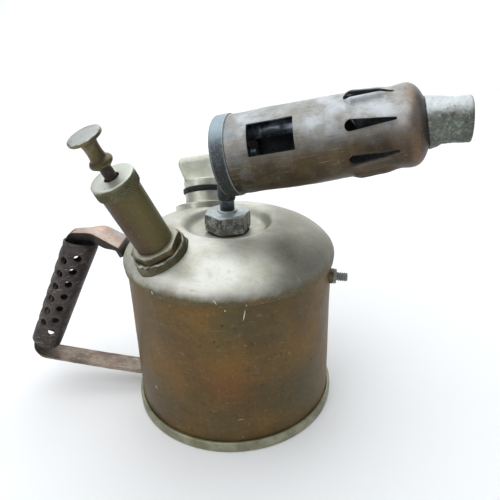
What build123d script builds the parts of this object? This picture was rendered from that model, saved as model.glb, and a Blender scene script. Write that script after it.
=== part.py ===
from build123d import *
import os
from math import cos, hypot, radians, sin

# Antique brass pressure blowlamp.  Millimetres, +Z up.
# Origin: centre of the tank's foot, on the ground.  The burner points along +X.

# ---------------------------------------------------------------- tank
TANK_R = 62.0           # outside radius of the side wall
SHEET = 1.0             # brass sheet thickness
RIM_R = 64.1            # rolled foot rim
RIM_H = 6.6
WALL_BOTTOM = 1.8
WALL_TOP = 101.0
SKIRT_Z = 97.0          # lower edge of the top shell, sleeved over the wall
CUP_FLOOR = 113.5       # floor of the spirit cup
CUP_HOLE_R = 9.6
# outside profile of the top shell, (radius, height), skirt to cup floor
CROWN = [(63.35, 99.2), (63.55, 100.6), (63.3, 102.2), (62.3, 104.2), (60.3, 106.6),
         (56.5, 109.8), (51.5, 112.9), (45.5, 115.7), (39.0, 117.9), (32.5, 119.3), (28.2, 119.7)]
CUP = [(26.2, 118.9), (24.6, 117.0), (23.4, 115.2), (21.8, 113.9), (20.0, 113.5)]

# ---------------------------------------------------------------- burner
TUBE_Z = 158.0          # height where the burner's axis crosses the tank's axis
TUBE_TILT = 11.1        # upward tilt of the burner's axis, degrees
COLLAR_R = 22.9
COLLAR_END = 7.8        # station of the joint between collar and flame tube
TUBE_SHEET = 1.0
# outside profile of the flame tube, (station along the axis, radius)
TUBE = [(7.9, 22.1), (30.0, 22.15), (52.0, 22.0), (70.0, 21.4), (82.0, 20.6), (88.5, 20.35),
        (94.0, 20.6), (98.5, 20.95), (101.5, 20.5), (104.0, 18.9), (106.0, 16.2), (107.2, 13.6)]
WINDOW = (20.3, 44.9)   # stations of the two ends of the lighting window
WINDOW_ANGLE = 62.0     # round the tube from the top, towards -Y
WINDOW_W = 17.4
SLOTS = 8               # teardrop air slots
SLOT_FIRST = 23.0       # angle of the first slot
SLOT_REAR = 72.7        # station of the round end's centre
SLOT_FRONT = 93.6       # station of the tip's centre
SLOT_R = 2.75
SLOT_TIP_R = 0.75
NOZZLE_R = 11.2
NOZZLE_BORE = 8.6
NOZZLE_DROOP = 9.0      # the nozzle's front part bends down by this
LEG = 10.6              # offset of the vaporiser's two legs from the burner's axis
PIPE_R = 4.3            # riser and vaporiser pipe, outside
PIPE_BORE = 2.7
HEX_AF = 24.2           # burner nut across flats
HEX_Z0 = 114.7
HEX_Z1 = 125.5

# ---------------------------------------------------------------- pump
PUMP_P = Vector(-25.5, -39.6, 112.9)    # point of the pump axis on the crown
PUMP_A = Vector(-0.235, -0.364, 0.901).normalized()
BARREL_R = 10.3
BARREL_BORE = 9.5
BARREL_FOOT = -72.0
BOSS_R = 15.2           # round seat under the pump nut
BOSS_TOP = 5.2          # stations along the pump axis
PUMP_HEX_Z0 = 5.8
PUMP_HEX_Z1 = 10.5
CAP_Z0 = 46.6
CAP_Z1 = 54.2
CAP_R = 11.4
ROD_R = 3.0
KNOB_TOP = 78.4
CUP_LEATHER = -51.5     # station of the cup washer on the rod

# ---------------------------------------------------------------- filler
FILL_P = Vector(46.5 * cos(radians(126)), 46.5 * sin(radians(126)), 115.2)
FILL_LEAN = radians(27)
FILL_TOWARDS = radians(113)
FILL_A = Vector(sin(FILL_LEAN) * cos(FILL_TOWARDS), sin(FILL_LEAN) * sin(FILL_TOWARDS), cos(FILL_LEAN))
NECK_R = 12.8
NECK_BORE = 10.0
NECK_TOP = 7.2
FILL_WASHER = 3.4

# ---------------------------------------------------------------- handle
HANDLE_ANGLE = 190.0
STRAP_T = 1.3
STRAP_W = 15.8          # strap width, its width inside the grip, and that of its broad end before shaping
LEG_W = 8.0
LEAF_W = 23.0
GRIP_TOP = (92.8, 104.3)        # (radius from the tank's axis, height)
GRIP_END = (130.1, 30.8)
GRIP_R = (10.5, 9.4)            # outside radius at the top and at the bottom
GRIP_SHEET = 0.8
GRIP_TRIM = 1.5         # the sheet stops this short of the grip's lower end point

# ---------------------------------------------------------------- side stud
STUD_Z = 88.4

os.makedirs("parts", exist_ok=True)


def save(block, name):
    """Label a finished piece and write its STEP file."""
    block.part.label = name
    export_step(block.part, "parts/" + name + ".step")


def inset(points, t):
    """Shift each point of a profile by t to the right of its direction of travel."""
    moved = []
    for i, (x, y) in enumerate(points):
        a = points[max(i - 1, 0)]
        b = points[min(i + 1, len(points) - 1)]
        length = hypot(b[0] - a[0], b[1] - a[1])
        moved.append((x + t * (b[1] - a[1]) / length, y - t * (b[0] - a[0]) / length))
    return moved


def unit_x(axis):
    """Horizontal direction square to a leaning axis."""
    return axis.cross(Vector(0, 0, 1)).normalized()


def pump_plane(s):
    return Plane(origin=PUMP_P + PUMP_A * s, x_dir=unit_x(PUMP_A), z_dir=PUMP_A)


def fill_plane(s):
    return Plane(origin=FILL_P + FILL_A * s, x_dir=unit_x(FILL_A), z_dir=FILL_A)


TILT = radians(TUBE_TILT)
BURN_D = Vector(cos(TILT), 0, sin(TILT))
BURN_U = Vector(-sin(TILT), 0, cos(TILT))


def burner_point(s, up):
    return Vector(0, 0, TUBE_Z) + BURN_D * s + BURN_U * up


def burner_plane(s):
    """Plane square to the burner's axis at station s; its X points up."""
    return Plane(origin=burner_point(s, 0), x_dir=BURN_U, z_dir=BURN_D)


# Plane that holds the burner's axis: X along the axis, Y up.
BURNER_SIDE = Plane(origin=(0, 0, TUBE_Z), x_dir=BURN_D, z_dir=(0, -1, 0))
BURNER_AXIS = Axis((0, 0, TUBE_Z), BURN_D)

ER = Vector(cos(radians(HANDLE_ANGLE)), sin(radians(HANDLE_ANGLE)), 0)
EN = Vector(ER.Y, -ER.X, 0)
# Plane of the handle: X is the distance from the tank's axis, Y is the height.
HANDLE_SIDE = Plane(origin=(0, 0, 0), x_dir=ER, z_dir=EN)

# ================================================================ tank shell
with BuildPart() as tank_side:
    with BuildSketch(Plane.XY.offset(WALL_BOTTOM)):
        Circle(TANK_R)
        Circle(TANK_R - SHEET, mode=Mode.SUBTRACT)
    extrude(amount=WALL_TOP - WALL_BOTTOM)
save(tank_side, "tank_side")

with BuildPart() as tank_bottom:
    with BuildSketch(Plane.XZ):
        with Locations((RIM_R - 1.75, RIM_H / 2)):
            RectangleRounded(3.5, RIM_H, 1.5)
        with Locations(((RIM_R - 2) / 2, 4.3)):
            Rectangle(RIM_R - 2, SHEET)
        with Locations((TANK_R - SHEET / 2, WALL_BOTTOM + 5)):
            Rectangle(SHEET + 0.06, 10, mode=Mode.SUBTRACT)
    revolve(axis=Axis.Z)
save(tank_bottom, "tank_bottom")

# Solid under the crown's outside surface, used to trim what sits on the tank.
skin = CROWN + CUP
inner = inset(skin, -SHEET)
inner = [(min(x, TANK_R + 0.6), y) for x, y in inner]
with BuildPart() as crown_block:
    with BuildSketch(Plane.XZ):
        with BuildLine():
            Polyline((0, 60), (TANK_R, 60), (TANK_R, SKIRT_Z), (63.1, SKIRT_Z), CROWN[0])
            Spline(*CROWN)
            Spline(CROWN[-1], *CUP)
            Polyline(CUP[-1], (0, CUP_FLOOR), (0, 60))
        make_face()
    revolve(axis=Axis.Z)

with BuildPart() as crown_inside:
    n = len(CROWN)
    with BuildSketch(Plane.XZ):
        with BuildLine():
            Polyline((0, 60), (TANK_R + 0.04, 60), (TANK_R + 0.04, 99.0), inner[0])
            Spline(*inner[:n])
            Spline(inner[n - 1], *inner[n:])
            Polyline(inner[-1], (0, CUP_FLOOR - SHEET), (0, 60))
        make_face()
    revolve(axis=Axis.Z)

with BuildPart() as tank_top:
    add(crown_block.part)
    add(crown_inside.part, mode=Mode.SUBTRACT)
    # openings for the burner bush, the pump barrel and the filler neck
    with BuildSketch(Plane.XY.offset(100)):
        Circle(CUP_HOLE_R)
    extrude(amount=30, mode=Mode.SUBTRACT)
    with BuildSketch(pump_plane(-16)):
        Circle(BARREL_R + 0.03)
    extrude(amount=32, mode=Mode.SUBTRACT)
    with BuildSketch(fill_plane(-16)):
        Circle(NECK_BORE + 0.9)
    extrude(amount=32, mode=Mode.SUBTRACT)
    with BuildSketch(Plane.XY.offset(60)):
        Circle(80)
    extrude(amount=SKIRT_Z - 60, mode=Mode.SUBTRACT)
save(tank_top, "tank_top")

# ================================================================ burner foot
with BuildPart() as burner_bush:
    with BuildSketch(Plane.XZ):
        with BuildLine():
            Polyline((6.6, 103.5), (9.0, 103.5), (9.0, 109.5), (13.0, 109.5), (13.0, 112.45),
                     (CUP_HOLE_R - 0.05, 112.45), (CUP_HOLE_R - 0.05, 113.5), (6.6, 113.5), close=True)
        make_face()
    revolve(axis=Axis.Z)
save(burner_bush, "burner_bush")

with BuildPart() as burner_washer:
    with BuildSketch(Plane.XY.offset(CUP_FLOOR)):
        Circle(12.6)
        Circle(6.6, mode=Mode.SUBTRACT)
    extrude(amount=HEX_Z0 - CUP_FLOOR)
save(burner_washer, "burner_washer")

with BuildPart() as riser_nut:
    with BuildSketch(Plane.XY.offset(HEX_Z0)):
        RegularPolygon(HEX_AF / 2, 6, major_radius=False, rotation=27)
    extrude(amount=HEX_Z1 - HEX_Z0)
    # the corners are turned back at the top
    with BuildSketch(Plane.XZ):
        with BuildLine():
            Polyline((12.3, HEX_Z1 + 0.1), (12.3, HEX_Z1), (14.6, HEX_Z1 - 1.5), (16, HEX_Z1 - 1.5),
                     (16, HEX_Z1 + 0.1), close=True)
        make_face()
    revolve(axis=Axis.Z, mode=Mode.SUBTRACT)
    with BuildSketch(Plane.XY.offset(104.0)):
        Circle(6.55)
    extrude(amount=HEX_Z0 - 104.0)
    with BuildSketch(Plane.XY.offset(HEX_Z1)):
        Circle(5.9)
    extrude(amount=1.2)
    chamfer(riser_nut.faces().sort_by(Axis.Z)[-1].edges(), 0.7)
    with BuildSketch(Plane.XY.offset(100)):
        Circle(PIPE_R + 0.02)
    extrude(amount=40, mode=Mode.SUBTRACT)
save(riser_nut, "riser_nut")

RISER_END = 138.0
with BuildPart() as riser_tube:
    with BuildSketch(Plane.XY.offset(104.0)):
        Circle(PIPE_R)
        Circle(PIPE_BORE, mode=Mode.SUBTRACT)
    extrude(amount=RISER_END - 104.0)
save(riser_tube, "riser_tube")

with BuildPart() as dip_tube:
    with BuildSketch(Plane.XY.offset(16.0)):
        Circle(2.65)
        Circle(1.8, mode=Mode.SUBTRACT)
    extrude(amount=100.0)
save(dip_tube, "dip_tube")

with BuildPart() as strainer:
    # gauze thimble on the foot of the dip tube
    with BuildSketch(Plane.XY.offset(8.5)):
        Circle(4.2)
    extrude(amount=11.0)
    with BuildSketch(Plane.XY.offset(9.3)):
        Circle(3.4)
    extrude(amount=6.7, mode=Mode.SUBTRACT)
    with BuildSketch(Plane.XY.offset(15.9)):
        Circle(2.68)
    extrude(amount=5, mode=Mode.SUBTRACT)
    for z in (10.5, 12.3, 14.1):
        for turn in (0, 45, 90, 135):
            across = (cos(radians(turn)), sin(radians(turn)), 0)
            spot = Plane(origin=(0, 0, z), x_dir=(0, 0, 1), z_dir=across)
            with BuildSketch(spot):
                Circle(0.55)
            extrude(amount=6, both=True, mode=Mode.SUBTRACT)
save(strainer, "strainer")

# ================================================================ burner head
CORNER = burner_point(-LEG * sin(TILT) / cos(TILT), -LEG)
LOOP_END = 70.0
LOOP = [Vector(0, 0, RISER_END), CORNER, burner_point(LOOP_END, -LEG), burner_point(LOOP_END, LEG),
        burner_point(12.0, LEG)]
with BuildPart() as vaporiser_loop:
    with BuildLine():
        loop_line = FilletPolyline(*LOOP, radius=[6.0, 10.4, 10.4])
    with BuildSketch(Plane.XY.offset(RISER_END)):
        Circle(PIPE_R)
        Circle(PIPE_BORE, mode=Mode.SUBTRACT)
    sweep(path=loop_line)
save(vaporiser_loop, "vaporiser_loop")

# the same pipe, solid and a hair fatter, to cut its way through the casting
with BuildPart() as loop_space:
    with BuildLine():
        space_line = FilletPolyline(*LOOP, radius=[6.0, 10.4, 10.4])
    with BuildSketch(Plane.XY.offset(RISER_END)):
        Circle(PIPE_R + 0.05)
    sweep(path=space_line)

with BuildPart() as burner_collar:
    # cast ring with a spigot that the flame tube is pushed on to
    with BuildSketch(BURNER_SIDE):
        with BuildLine():
            Polyline((-1.0, 19.4), (-1.0, 21.6), (0.2, COLLAR_R), (COLLAR_END, COLLAR_R),
                     (COLLAR_END, 21.06), (15.0, 21.06), (15.0, 19.4), close=True)
        make_face()
    revolve(axis=BURNER_AXIS)
    # upright web across the back, with the hub that holds the jet
    with BuildSketch(burner_plane(-1.0)):
        Rectangle(40.0, 9.0)
        Circle(7.5)
    extrude(amount=6.0)
    # foot of the casting, round the top of the riser
    with BuildSketch(Plane.XZ):
        with BuildLine():
            Polyline((-4.9, 132.6), (-5.1, 140.0), (-2.0, 150.0), (8.0, 150.0), (9.0, 138.0),
                     (5.0, 132.6), close=True)
        make_face()
    extrude(amount=5.1, both=True)
    fillet(burner_collar.edges().filter_by(Axis.Y).group_by(Axis.Z)[0], 1.0)
    with BuildSketch(Plane.XY.offset(130)):
        Circle(PIPE_R + 0.02)
    extrude(amount=RISER_END - 130 + 0.5, mode=Mode.SUBTRACT)
    # the vaporiser runs through the casting
    add(loop_space.part, mode=Mode.SUBTRACT)
    with BuildSketch(burner_plane(-6)):
        Circle(3.05)
    extrude(amount=30, mode=Mode.SUBTRACT)
save(burner_collar, "burner_collar")

with BuildPart() as jet_block:
    # cast elbow that leads the vapour from the upper leg down to the jet
    with BuildSketch(BURNER_SIDE):
        with Locations((9.0, LEG / 2 - 0.5)):
            RectangleRounded(5.8, LEG + 11.0, 2.0)
    extrude(amount=5.2, both=True)
    with BuildSketch(burner_plane(5.2)):
        Circle(5.2)
    extrude(amount=8.6)
    with BuildSketch(burner_plane(13.8)):
        Circle(2.2)
    extrude(amount=-5.0, mode=Mode.SUBTRACT)
    with BuildSketch(burner_plane(-2.0)):
        Circle(3.0)
    extrude(amount=8.0)
save(jet_block, "jet_block")

with BuildPart() as jet:
    # screwed nipple with a pin-hole
    with BuildSketch(burner_plane(8.8)):
        Circle(2.15)
    extrude(amount=5.0)
    with BuildSketch(burner_plane(13.8)):
        RegularPolygon(3.3, 6)
    extrude(amount=2.8)
    with BuildSketch(burner_plane(16.6)):
        Circle(2.9)
    extrude(amount=2.6, taper=18)
    with BuildSketch(burner_plane(8.8)):
        Circle(1.1)
    extrude(amount=8.6, mode=Mode.SUBTRACT)
    with BuildSketch(burner_plane(8.8)):
        Circle(0.2)
    extrude(amount=12, mode=Mode.SUBTRACT)
save(jet, "jet")


def teardrop(angle):
    """Plane tangent to the flame tube at an angle from its top, X along the axis."""
    out = BURN_U * cos(radians(angle)) + Vector(0, -1, 0) * sin(radians(angle))
    return Plane(origin=Vector(0, 0, TUBE_Z) + out * 14.0, x_dir=BURN_D, z_dir=out)


with BuildPart() as flame_tube:
    hollow = [(s, r - TUBE_SHEET) for s, r in TUBE[:7]] + inset(TUBE[7:], TUBE_SHEET)
    with BuildSketch(BURNER_SIDE):
        with BuildLine():
            Spline(*TUBE)
            Line(TUBE[-1], (107.9, 12.7))
            Line((107.9, 12.7), (106.4, 12.4))
            Line((106.4, 12.4), hollow[-1])
            Spline(*reversed(hollow))
            Line(hollow[0], TUBE[0])
        make_face()
    revolve(axis=BURNER_AXIS)
    with BuildSketch(teardrop(WINDOW_ANGLE)):
        with Locations(((WINDOW[0] + WINDOW[1]) / 2, 0)):
            Rectangle(WINDOW[1] - WINDOW[0], WINDOW_W)
    extrude(amount=12, mode=Mode.SUBTRACT)
    for k in range(SLOTS):
        with BuildSketch(teardrop(SLOT_FIRST + 360.0 / SLOTS * k)):
            with Locations((SLOT_REAR, 0)):
                Circle(SLOT_R)
            with Locations((SLOT_FRONT, 0)):
                Circle(SLOT_TIP_R)
            make_hull()
        extrude(amount=12, mode=Mode.SUBTRACT)
save(flame_tube, "flame_tube")

BEND = 115.0
droop = TILT - radians(NOZZLE_DROOP)
nozzle_d = Vector(cos(droop), 0, sin(droop))
nozzle_front = Plane(origin=burner_point(BEND, 0), x_dir=(0, 1, 0), z_dir=nozzle_d)
with BuildPart() as nozzle:
    # spigot inside the tube's neck, cone, then the drooping front part
    with BuildSketch(BURNER_SIDE):
        with BuildLine():
            Polyline((103.0, 0), (103.0, 12.3), (107.4, 12.3), (108.0, 12.75), (108.0, 13.1),
                     (BEND + 1, 11.3), (BEND + 1, 0), close=True)
        make_face()
    revolve(axis=BURNER_AXIS)
    with BuildSketch(nozzle_front):
        Circle(NOZZLE_R)
    extrude(amount=13.6)
    with BuildSketch(nozzle_front):
        Circle(NOZZLE_R)
    extrude(amount=-2.2, taper=-8)
    fillet(nozzle.faces().sort_by(Axis((0, 0, 0), nozzle_d))[-1].edges(), 2.6)
    with BuildSketch(burner_plane(102.0)):
        Circle(NOZZLE_BORE + 1.6)
    extrude(amount=BEND - 102.0 + 0.6, taper=7, mode=Mode.SUBTRACT)
    with BuildSketch(nozzle_front):
        Circle(NOZZLE_BORE)
    extrude(amount=20, mode=Mode.SUBTRACT)
save(nozzle, "nozzle")

# ================================================================ pump
with BuildPart() as pump_boss:
    # soldered seat, fitted to the crown
    with BuildSketch(pump_plane(-14)):
        Circle(BOSS_R)
    extrude(amount=14.0 + BOSS_TOP)
    with BuildSketch(pump_plane(BOSS_TOP)):
        Circle(13.6)
    extrude(amount=0.5)
    add(crown_block.part, mode=Mode.SUBTRACT)
    with BuildSketch(pump_plane(-14)):
        Circle(BARREL_R + 0.03)
    extrude(amount=30, mode=Mode.SUBTRACT)
save(pump_boss, "pump_boss")

with BuildPart() as pump_hex:
    with BuildSketch(pump_plane(PUMP_HEX_Z0)):
        RegularPolygon(14.5, 6, rotation=2)
    extrude(amount=PUMP_HEX_Z1 - PUMP_HEX_Z0)
    with BuildSketch(Plane(origin=PUMP_P, x_dir=unit_x(PUMP_A), z_dir=PUMP_A.cross(unit_x(PUMP_A)))):
        with BuildLine():
            Polyline((12.9, PUMP_HEX_Z1 + 0.1), (12.9, PUMP_HEX_Z1), (14.7, PUMP_HEX_Z1 - 1.1),
                     (16, PUMP_HEX_Z1 - 1.1), (16, PUMP_HEX_Z1 + 0.1), close=True)
        make_face()
    revolve(axis=Axis(PUMP_P, PUMP_A), mode=Mode.SUBTRACT)
    with BuildSketch(pump_plane(0)):
        Circle(BARREL_R + 0.03)
    extrude(amount=20, mode=Mode.SUBTRACT)
save(pump_hex, "pump_hex")

with BuildPart() as pump_barrel:
    with BuildSketch(pump_plane(BARREL_FOOT)):
        Circle(BARREL_R)
        Circle(BARREL_BORE, mode=Mode.SUBTRACT)
    extrude(amount=CAP_Z1 - 1.6 - BARREL_FOOT)
save(pump_barrel, "pump_barrel")

with BuildPart() as pump_cap:
    # knurled ring cap that guides the rod
    with BuildSketch(pump_plane(CAP_Z0)):
        Circle(CAP_R)
    extrude(amount=CAP_Z1 - CAP_Z0)
    chamfer(pump_cap.edges(), 0.5)
    with BuildSketch(pump_plane(CAP_Z0 - 1)):
        Circle(BARREL_R + 0.03)
    extrude(amount=CAP_Z1 - 1.57 - CAP_Z0 + 1, mode=Mode.SUBTRACT)
    with BuildSketch(pump_plane(CAP_Z0)):
        Circle(ROD_R + 0.9)
    extrude(amount=20, mode=Mode.SUBTRACT)
save(pump_cap, "pump_cap")

with BuildPart() as rod_guide:
    # inside plate that centres the rod under the cap's wide hole
    with BuildSketch(pump_plane(CAP_Z1 - 5.2)):
        Circle(BARREL_BORE - 0.02)
        Circle(ROD_R + 0.08, mode=Mode.SUBTRACT)
    extrude(amount=3.0)
save(rod_guide, "rod_guide")

with BuildPart() as pump_rod:
    with BuildSketch(pump_plane(CUP_LEATHER - 8.0)):
        Circle(ROD_R)
    extrude(amount=61.0 - CUP_LEATHER + 8.0)
save(pump_rod, "pump_rod")

with BuildPart() as pump_knob:
    side = Plane(origin=PUMP_P, x_dir=unit_x(PUMP_A), z_dir=unit_x(PUMP_A).cross(PUMP_A))
    with BuildSketch(side):
        with BuildLine():
            Polyline((0, 61.0), (4.2, 61.0), (4.6, 62.2))
            Spline((4.6, 62.2), (5.7, 63.3), (5.9, 64.4), (5.3, 65.6), (4.2, 66.4))
            Spline((4.2, 66.4), (3.75, 69.0), (3.8, 72.0), (4.3, 75.0), (5.6, 76.6))
            Polyline((5.6, 76.6), (7.9, 76.8), (8.4, 77.2), (8.4, 77.9), (7.9, KNOB_TOP),
                     (0, KNOB_TOP), (0, 61.0))
        make_face()
    revolve(axis=Axis(PUMP_P, PUMP_A))
save(pump_knob, "pump_knob")

with BuildPart() as cup_leather:
    # leather cup washer, open towards the foot of the barrel
    with BuildSketch(pump_plane(CUP_LEATHER - 4.5)):
        Circle(BARREL_BORE - 0.08)
    extrude(amount=6.0)
    with BuildSketch(pump_plane(CUP_LEATHER - 4.5)):
        Circle(BARREL_BORE - 1.6)
    extrude(amount=4.5, mode=Mode.SUBTRACT)
    with BuildSketch(pump_plane(CUP_LEATHER - 6)):
        Circle(ROD_R + 0.02)
    extrude(amount=20, mode=Mode.SUBTRACT)
save(cup_leather, "cup_leather")

with BuildPart() as cup_plate:
    with BuildSketch(pump_plane(CUP_LEATHER + 1.5)):
        Circle(BARREL_BORE - 0.9)
        Circle(ROD_R + 0.02, mode=Mode.SUBTRACT)
    extrude(amount=1.5)
save(cup_plate, "cup_plate")

with BuildPart() as cup_nut:
    with BuildSketch(pump_plane(CUP_LEATHER - 3.6)):
        RegularPolygon(5.6, 6)
        Circle(ROD_R + 0.02, mode=Mode.SUBTRACT)
    extrude(amount=3.6)
save(cup_nut, "cup_nut")

with BuildPart() as valve_body:
    # non-return valve, screwed into the foot of the barrel
    with BuildSketch(pump_plane(BARREL_FOOT)):
        Circle(BARREL_BORE - 0.03)
    extrude(amount=5.0)
    with BuildSketch(pump_plane(BARREL_FOOT)):
        Circle(6.0)
    extrude(amount=-15.0)
    with BuildSketch(pump_plane(BARREL_FOOT - 14.0)):
        Circle(3.8)
    extrude(amount=13.0, mode=Mode.SUBTRACT)
    with BuildSketch(pump_plane(BARREL_FOOT - 2)):
        Circle(1.1)
    extrude(amount=10, mode=Mode.SUBTRACT)
    with BuildSketch(pump_plane(BARREL_FOOT - 20)):
        Circle(1.0)
    extrude(amount=10, mode=Mode.SUBTRACT)
save(valve_body, "valve_body")

with BuildPart() as valve_pip:
    # cork-faced valve disc on a short stem
    with BuildSketch(pump_plane(BARREL_FOOT - 1.03)):
        Circle(3.3)
    extrude(amount=-2.6)
    with BuildSketch(pump_plane(BARREL_FOOT - 3.6)):
        Circle(1.5)
    extrude(amount=-4.0)
save(valve_pip, "valve_pip")

with BuildPart() as valve_spring:
    # coil spring of the valve, at its compressed length
    with BuildLine():
        coil = Helix(pitch=1.7, height=8.4, radius=2.6, center=(0, 0, 0))
    with BuildSketch(Plane(origin=coil @ 0, z_dir=coil % 0)):
        Circle(0.32)
    sweep(path=coil, is_frenet=True)
valve_spring.part.locate(pump_plane(BARREL_FOOT - 13.65).location)
save(valve_spring, "valve_spring")

# ================================================================ filler
with BuildPart() as filler_neck:
    # soldered neck with its flange fitted to the crown
    with BuildSketch(fill_plane(-12)):
        Circle(20.0)
    extrude(amount=11.4)
    fillet(filler_neck.faces().sort_by(Axis(FILL_P, FILL_A))[-1].edges(), 0.6)
    with BuildSketch(fill_plane(-6)):
        Circle(NECK_R)
    extrude(amount=NECK_TOP + 6)
    add(crown_block.part, mode=Mode.SUBTRACT)
    with BuildSketch(fill_plane(-14)):
        Circle(NECK_BORE)
    extrude(amount=40, mode=Mode.SUBTRACT)
save(filler_neck, "filler_neck")

with BuildPart() as filler_washer:
    with BuildSketch(fill_plane(NECK_TOP + 0.05)):
        Circle(13.8)
        Circle(NECK_BORE + 0.2, mode=Mode.SUBTRACT)
    extrude(amount=FILL_WASHER)
save(filler_washer, "filler_washer")

with BuildPart() as filler_cap:
    base = NECK_TOP + 0.1 + FILL_WASHER
    # threaded plug
    with BuildSketch(fill_plane(base - 11.0)):
        Circle(NECK_BORE - 0.3)
    extrude(amount=11.0)
    # collar
    with BuildSketch(fill_plane(base)):
        Circle(13.0)
    extrude(amount=6.2)
    fillet(filler_cap.faces().sort_by(Axis(FILL_P, FILL_A))[-1].edges(), 0.8)
    # flat-sided thumb piece that flares upwards
    with BuildSketch(fill_plane(base + 6.0)):
        RectangleRounded(24.6, 9.0, 2.0)
    with BuildSketch(fill_plane(base + 15.5)):
        RectangleRounded(31.0, 7.6, 2.0)
    loft()
    with BuildSketch(fill_plane(base + 15.5)):
        RectangleRounded(31.0, 7.6, 2.0)
    with BuildSketch(fill_plane(base + 20.0)):
        RectangleRounded(27.0, 5.6, 2.0)
    loft()
    # hollow plug
    with BuildSketch(fill_plane(base - 12.0)):
        Circle(7.6)
    extrude(amount=13.0, mode=Mode.SUBTRACT)
save(filler_cap, "filler_cap")

# ================================================================ handle
G0 = Vector(*GRIP_TOP)
G1 = Vector(*GRIP_END)
along = (G1 - G0).normalized()
across = Vector(-along.Y, along.X)
UPPER = [(60.0, 98.9), (79.5, 112.7), (97.9, 112.2)]
LOWER = [(139.8, 23.9), (94.6, 15.7), (62.7, 10.6), (62.7, 21.0)]


def band(points, radii, width, thickness=STRAP_T):
    """Strap of constant thickness along a path in the handle's plane."""
    with BuildPart() as piece:
        with BuildLine(HANDLE_SIDE):
            line = FilletPolyline(*points, radius=radii)
        with BuildSketch(Plane(origin=line @ 0, x_dir=EN, z_dir=line % 0)):
            Rectangle(width, thickness)
        sweep(path=line)
    return piece.part


def leaf(t):
    """Plan outline of the broad end, drawn in by t, as an upright block."""
    side = [(95.0, 4.0 - t), (90.0, 5.4 - t), (86.0, 6.6 - t), (82.0, 8.2 - t), (78.5, 9.0 - t),
            (72.0, 10.5 - t), (67.5, 11.0 - t), (60.0, 10.6 - t)]
    with BuildPart() as block:
        with BuildSketch(Plane(origin=(0, 0, 92), x_dir=ER, z_dir=(0, 0, 1))):
            with BuildLine():
                Spline(*side)
                Line((60.0, 10.6 - t), (60.0, t - 10.6))
                Spline(*[(x, -y) for x, y in reversed(side)])
                Line((95.0, t - 4.0), (95.0, 4.0 - t))
            make_face()
        extrude(amount=30)
    return block.part


# narrow from end to end, broad below the grip and at the crown
whole = band(UPPER + LOWER, [12.0, 6.0, 8.0, 8.0, 2.2], LEG_W)
with BuildPart() as lower_strap:
    add(band([(135.35, 33.4)] + LOWER, [8.0, 8.0, 2.2], STRAP_W))
    with BuildSketch(Plane(origin=(0, 0, 0), x_dir=ER, z_dir=(0, 0, 1))):
        Polygon((50, STRAP_W / 2), (128, STRAP_W / 2), (136, 5.8), (142, LEG_W / 2), (142, -LEG_W / 2),
                (136, -5.8), (128, -STRAP_W / 2), (50, -STRAP_W / 2), align=None)
    extrude(amount=50, mode=Mode.INTERSECT)
wide_leaf = band(UPPER, [12.0], LEAF_W)
# the broad end's edges are turned down
lip_path = [(x, y - 1.1) for x, y in UPPER]
wide_lip = band(lip_path, [12.0], LEAF_W, 3.3)
with BuildPart() as handle_lip:
    add(wide_lip)
    add(leaf(0), mode=Mode.INTERSECT)
    add(leaf(1.3), mode=Mode.SUBTRACT)
    with BuildSketch(Plane.XY):
        Circle(TANK_R + 1.4)
    extrude(amount=SKIRT_Z + 1.2, mode=Mode.SUBTRACT)

with BuildPart() as handle_strap:
    add(wide_leaf)
    add(leaf(0), mode=Mode.INTERSECT)
    add(handle_lip.part)
    add(whole)
    add(lower_strap.part)
    add(crown_block.part, mode=Mode.SUBTRACT)
    with BuildSketch(Plane.XY):
        Circle(TANK_R + 0.01)
    extrude(amount=SKIRT_Z, mode=Mode.SUBTRACT)
save(handle_strap, "handle_strap")

grip_a = HANDLE_SIDE.from_local_coords(G0)
grip_b = HANDLE_SIDE.from_local_coords(G1)
grip_dir = (grip_b - grip_a).normalized()
grip_out = HANDLE_SIDE.from_local_coords(across) - HANDLE_SIDE.from_local_coords(Vector(0, 0))
GRIP_L = (G1 - G0).length


def grip_plane(turn, t):
    """Plane on the grip's axis, facing out at an angle from the outer side."""
    side_dir = grip_dir.cross(grip_out).normalized()
    out = grip_out * cos(radians(turn)) + side_dir * sin(radians(turn))
    return Plane(origin=grip_a + grip_dir * t, x_dir=grip_dir, z_dir=out)


grip_side = grip_dir.cross(grip_out).normalized()
grip_skew = (grip_out * 0.28 + grip_side * 0.23 - grip_dir).normalized()
HOLE_FIRST = -109.5     # angle of the first column of holes
HOLE_STEP = 45.0
HOLE_T = 5.8            # first hole's distance along the grip
HOLE_PITCH = 10.15
with BuildPart() as handle_grip:
    with BuildSketch(grip_plane(90, 0)):
        with BuildLine():
            Polyline((-5, GRIP_R[0]), (GRIP_L - GRIP_TRIM, GRIP_R[1]),
                     (GRIP_L - GRIP_TRIM, GRIP_R[1] - GRIP_SHEET), (-5, GRIP_R[0] - GRIP_SHEET), close=True)
        make_face()
    revolve(axis=Axis(grip_a, grip_dir))
    # the top end is cut a little askew
    with BuildSketch(Plane(origin=grip_a - grip_dir * 1.2, x_dir=grip_side, z_dir=grip_skew)):
        Circle(20)
    extrude(amount=20, mode=Mode.SUBTRACT)
    # two staggered sets of perforations
    for col in range(5):
        for row in range(7 - col % 2):
            hole_t = HOLE_T + HOLE_PITCH * (row + 0.5 * (col % 2))
            with BuildSketch(grip_plane(HOLE_FIRST + HOLE_STEP * col, hole_t)):
                Circle(2.4)
            extrude(amount=14, mode=Mode.SUBTRACT)
    # open seam opposite the holes
    with BuildSketch(grip_plane(160.5, 0)):
        Rectangle(2 * GRIP_L + 14, 1.6)
    extrude(amount=14, mode=Mode.SUBTRACT)
save(handle_grip, "handle_grip")

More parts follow.
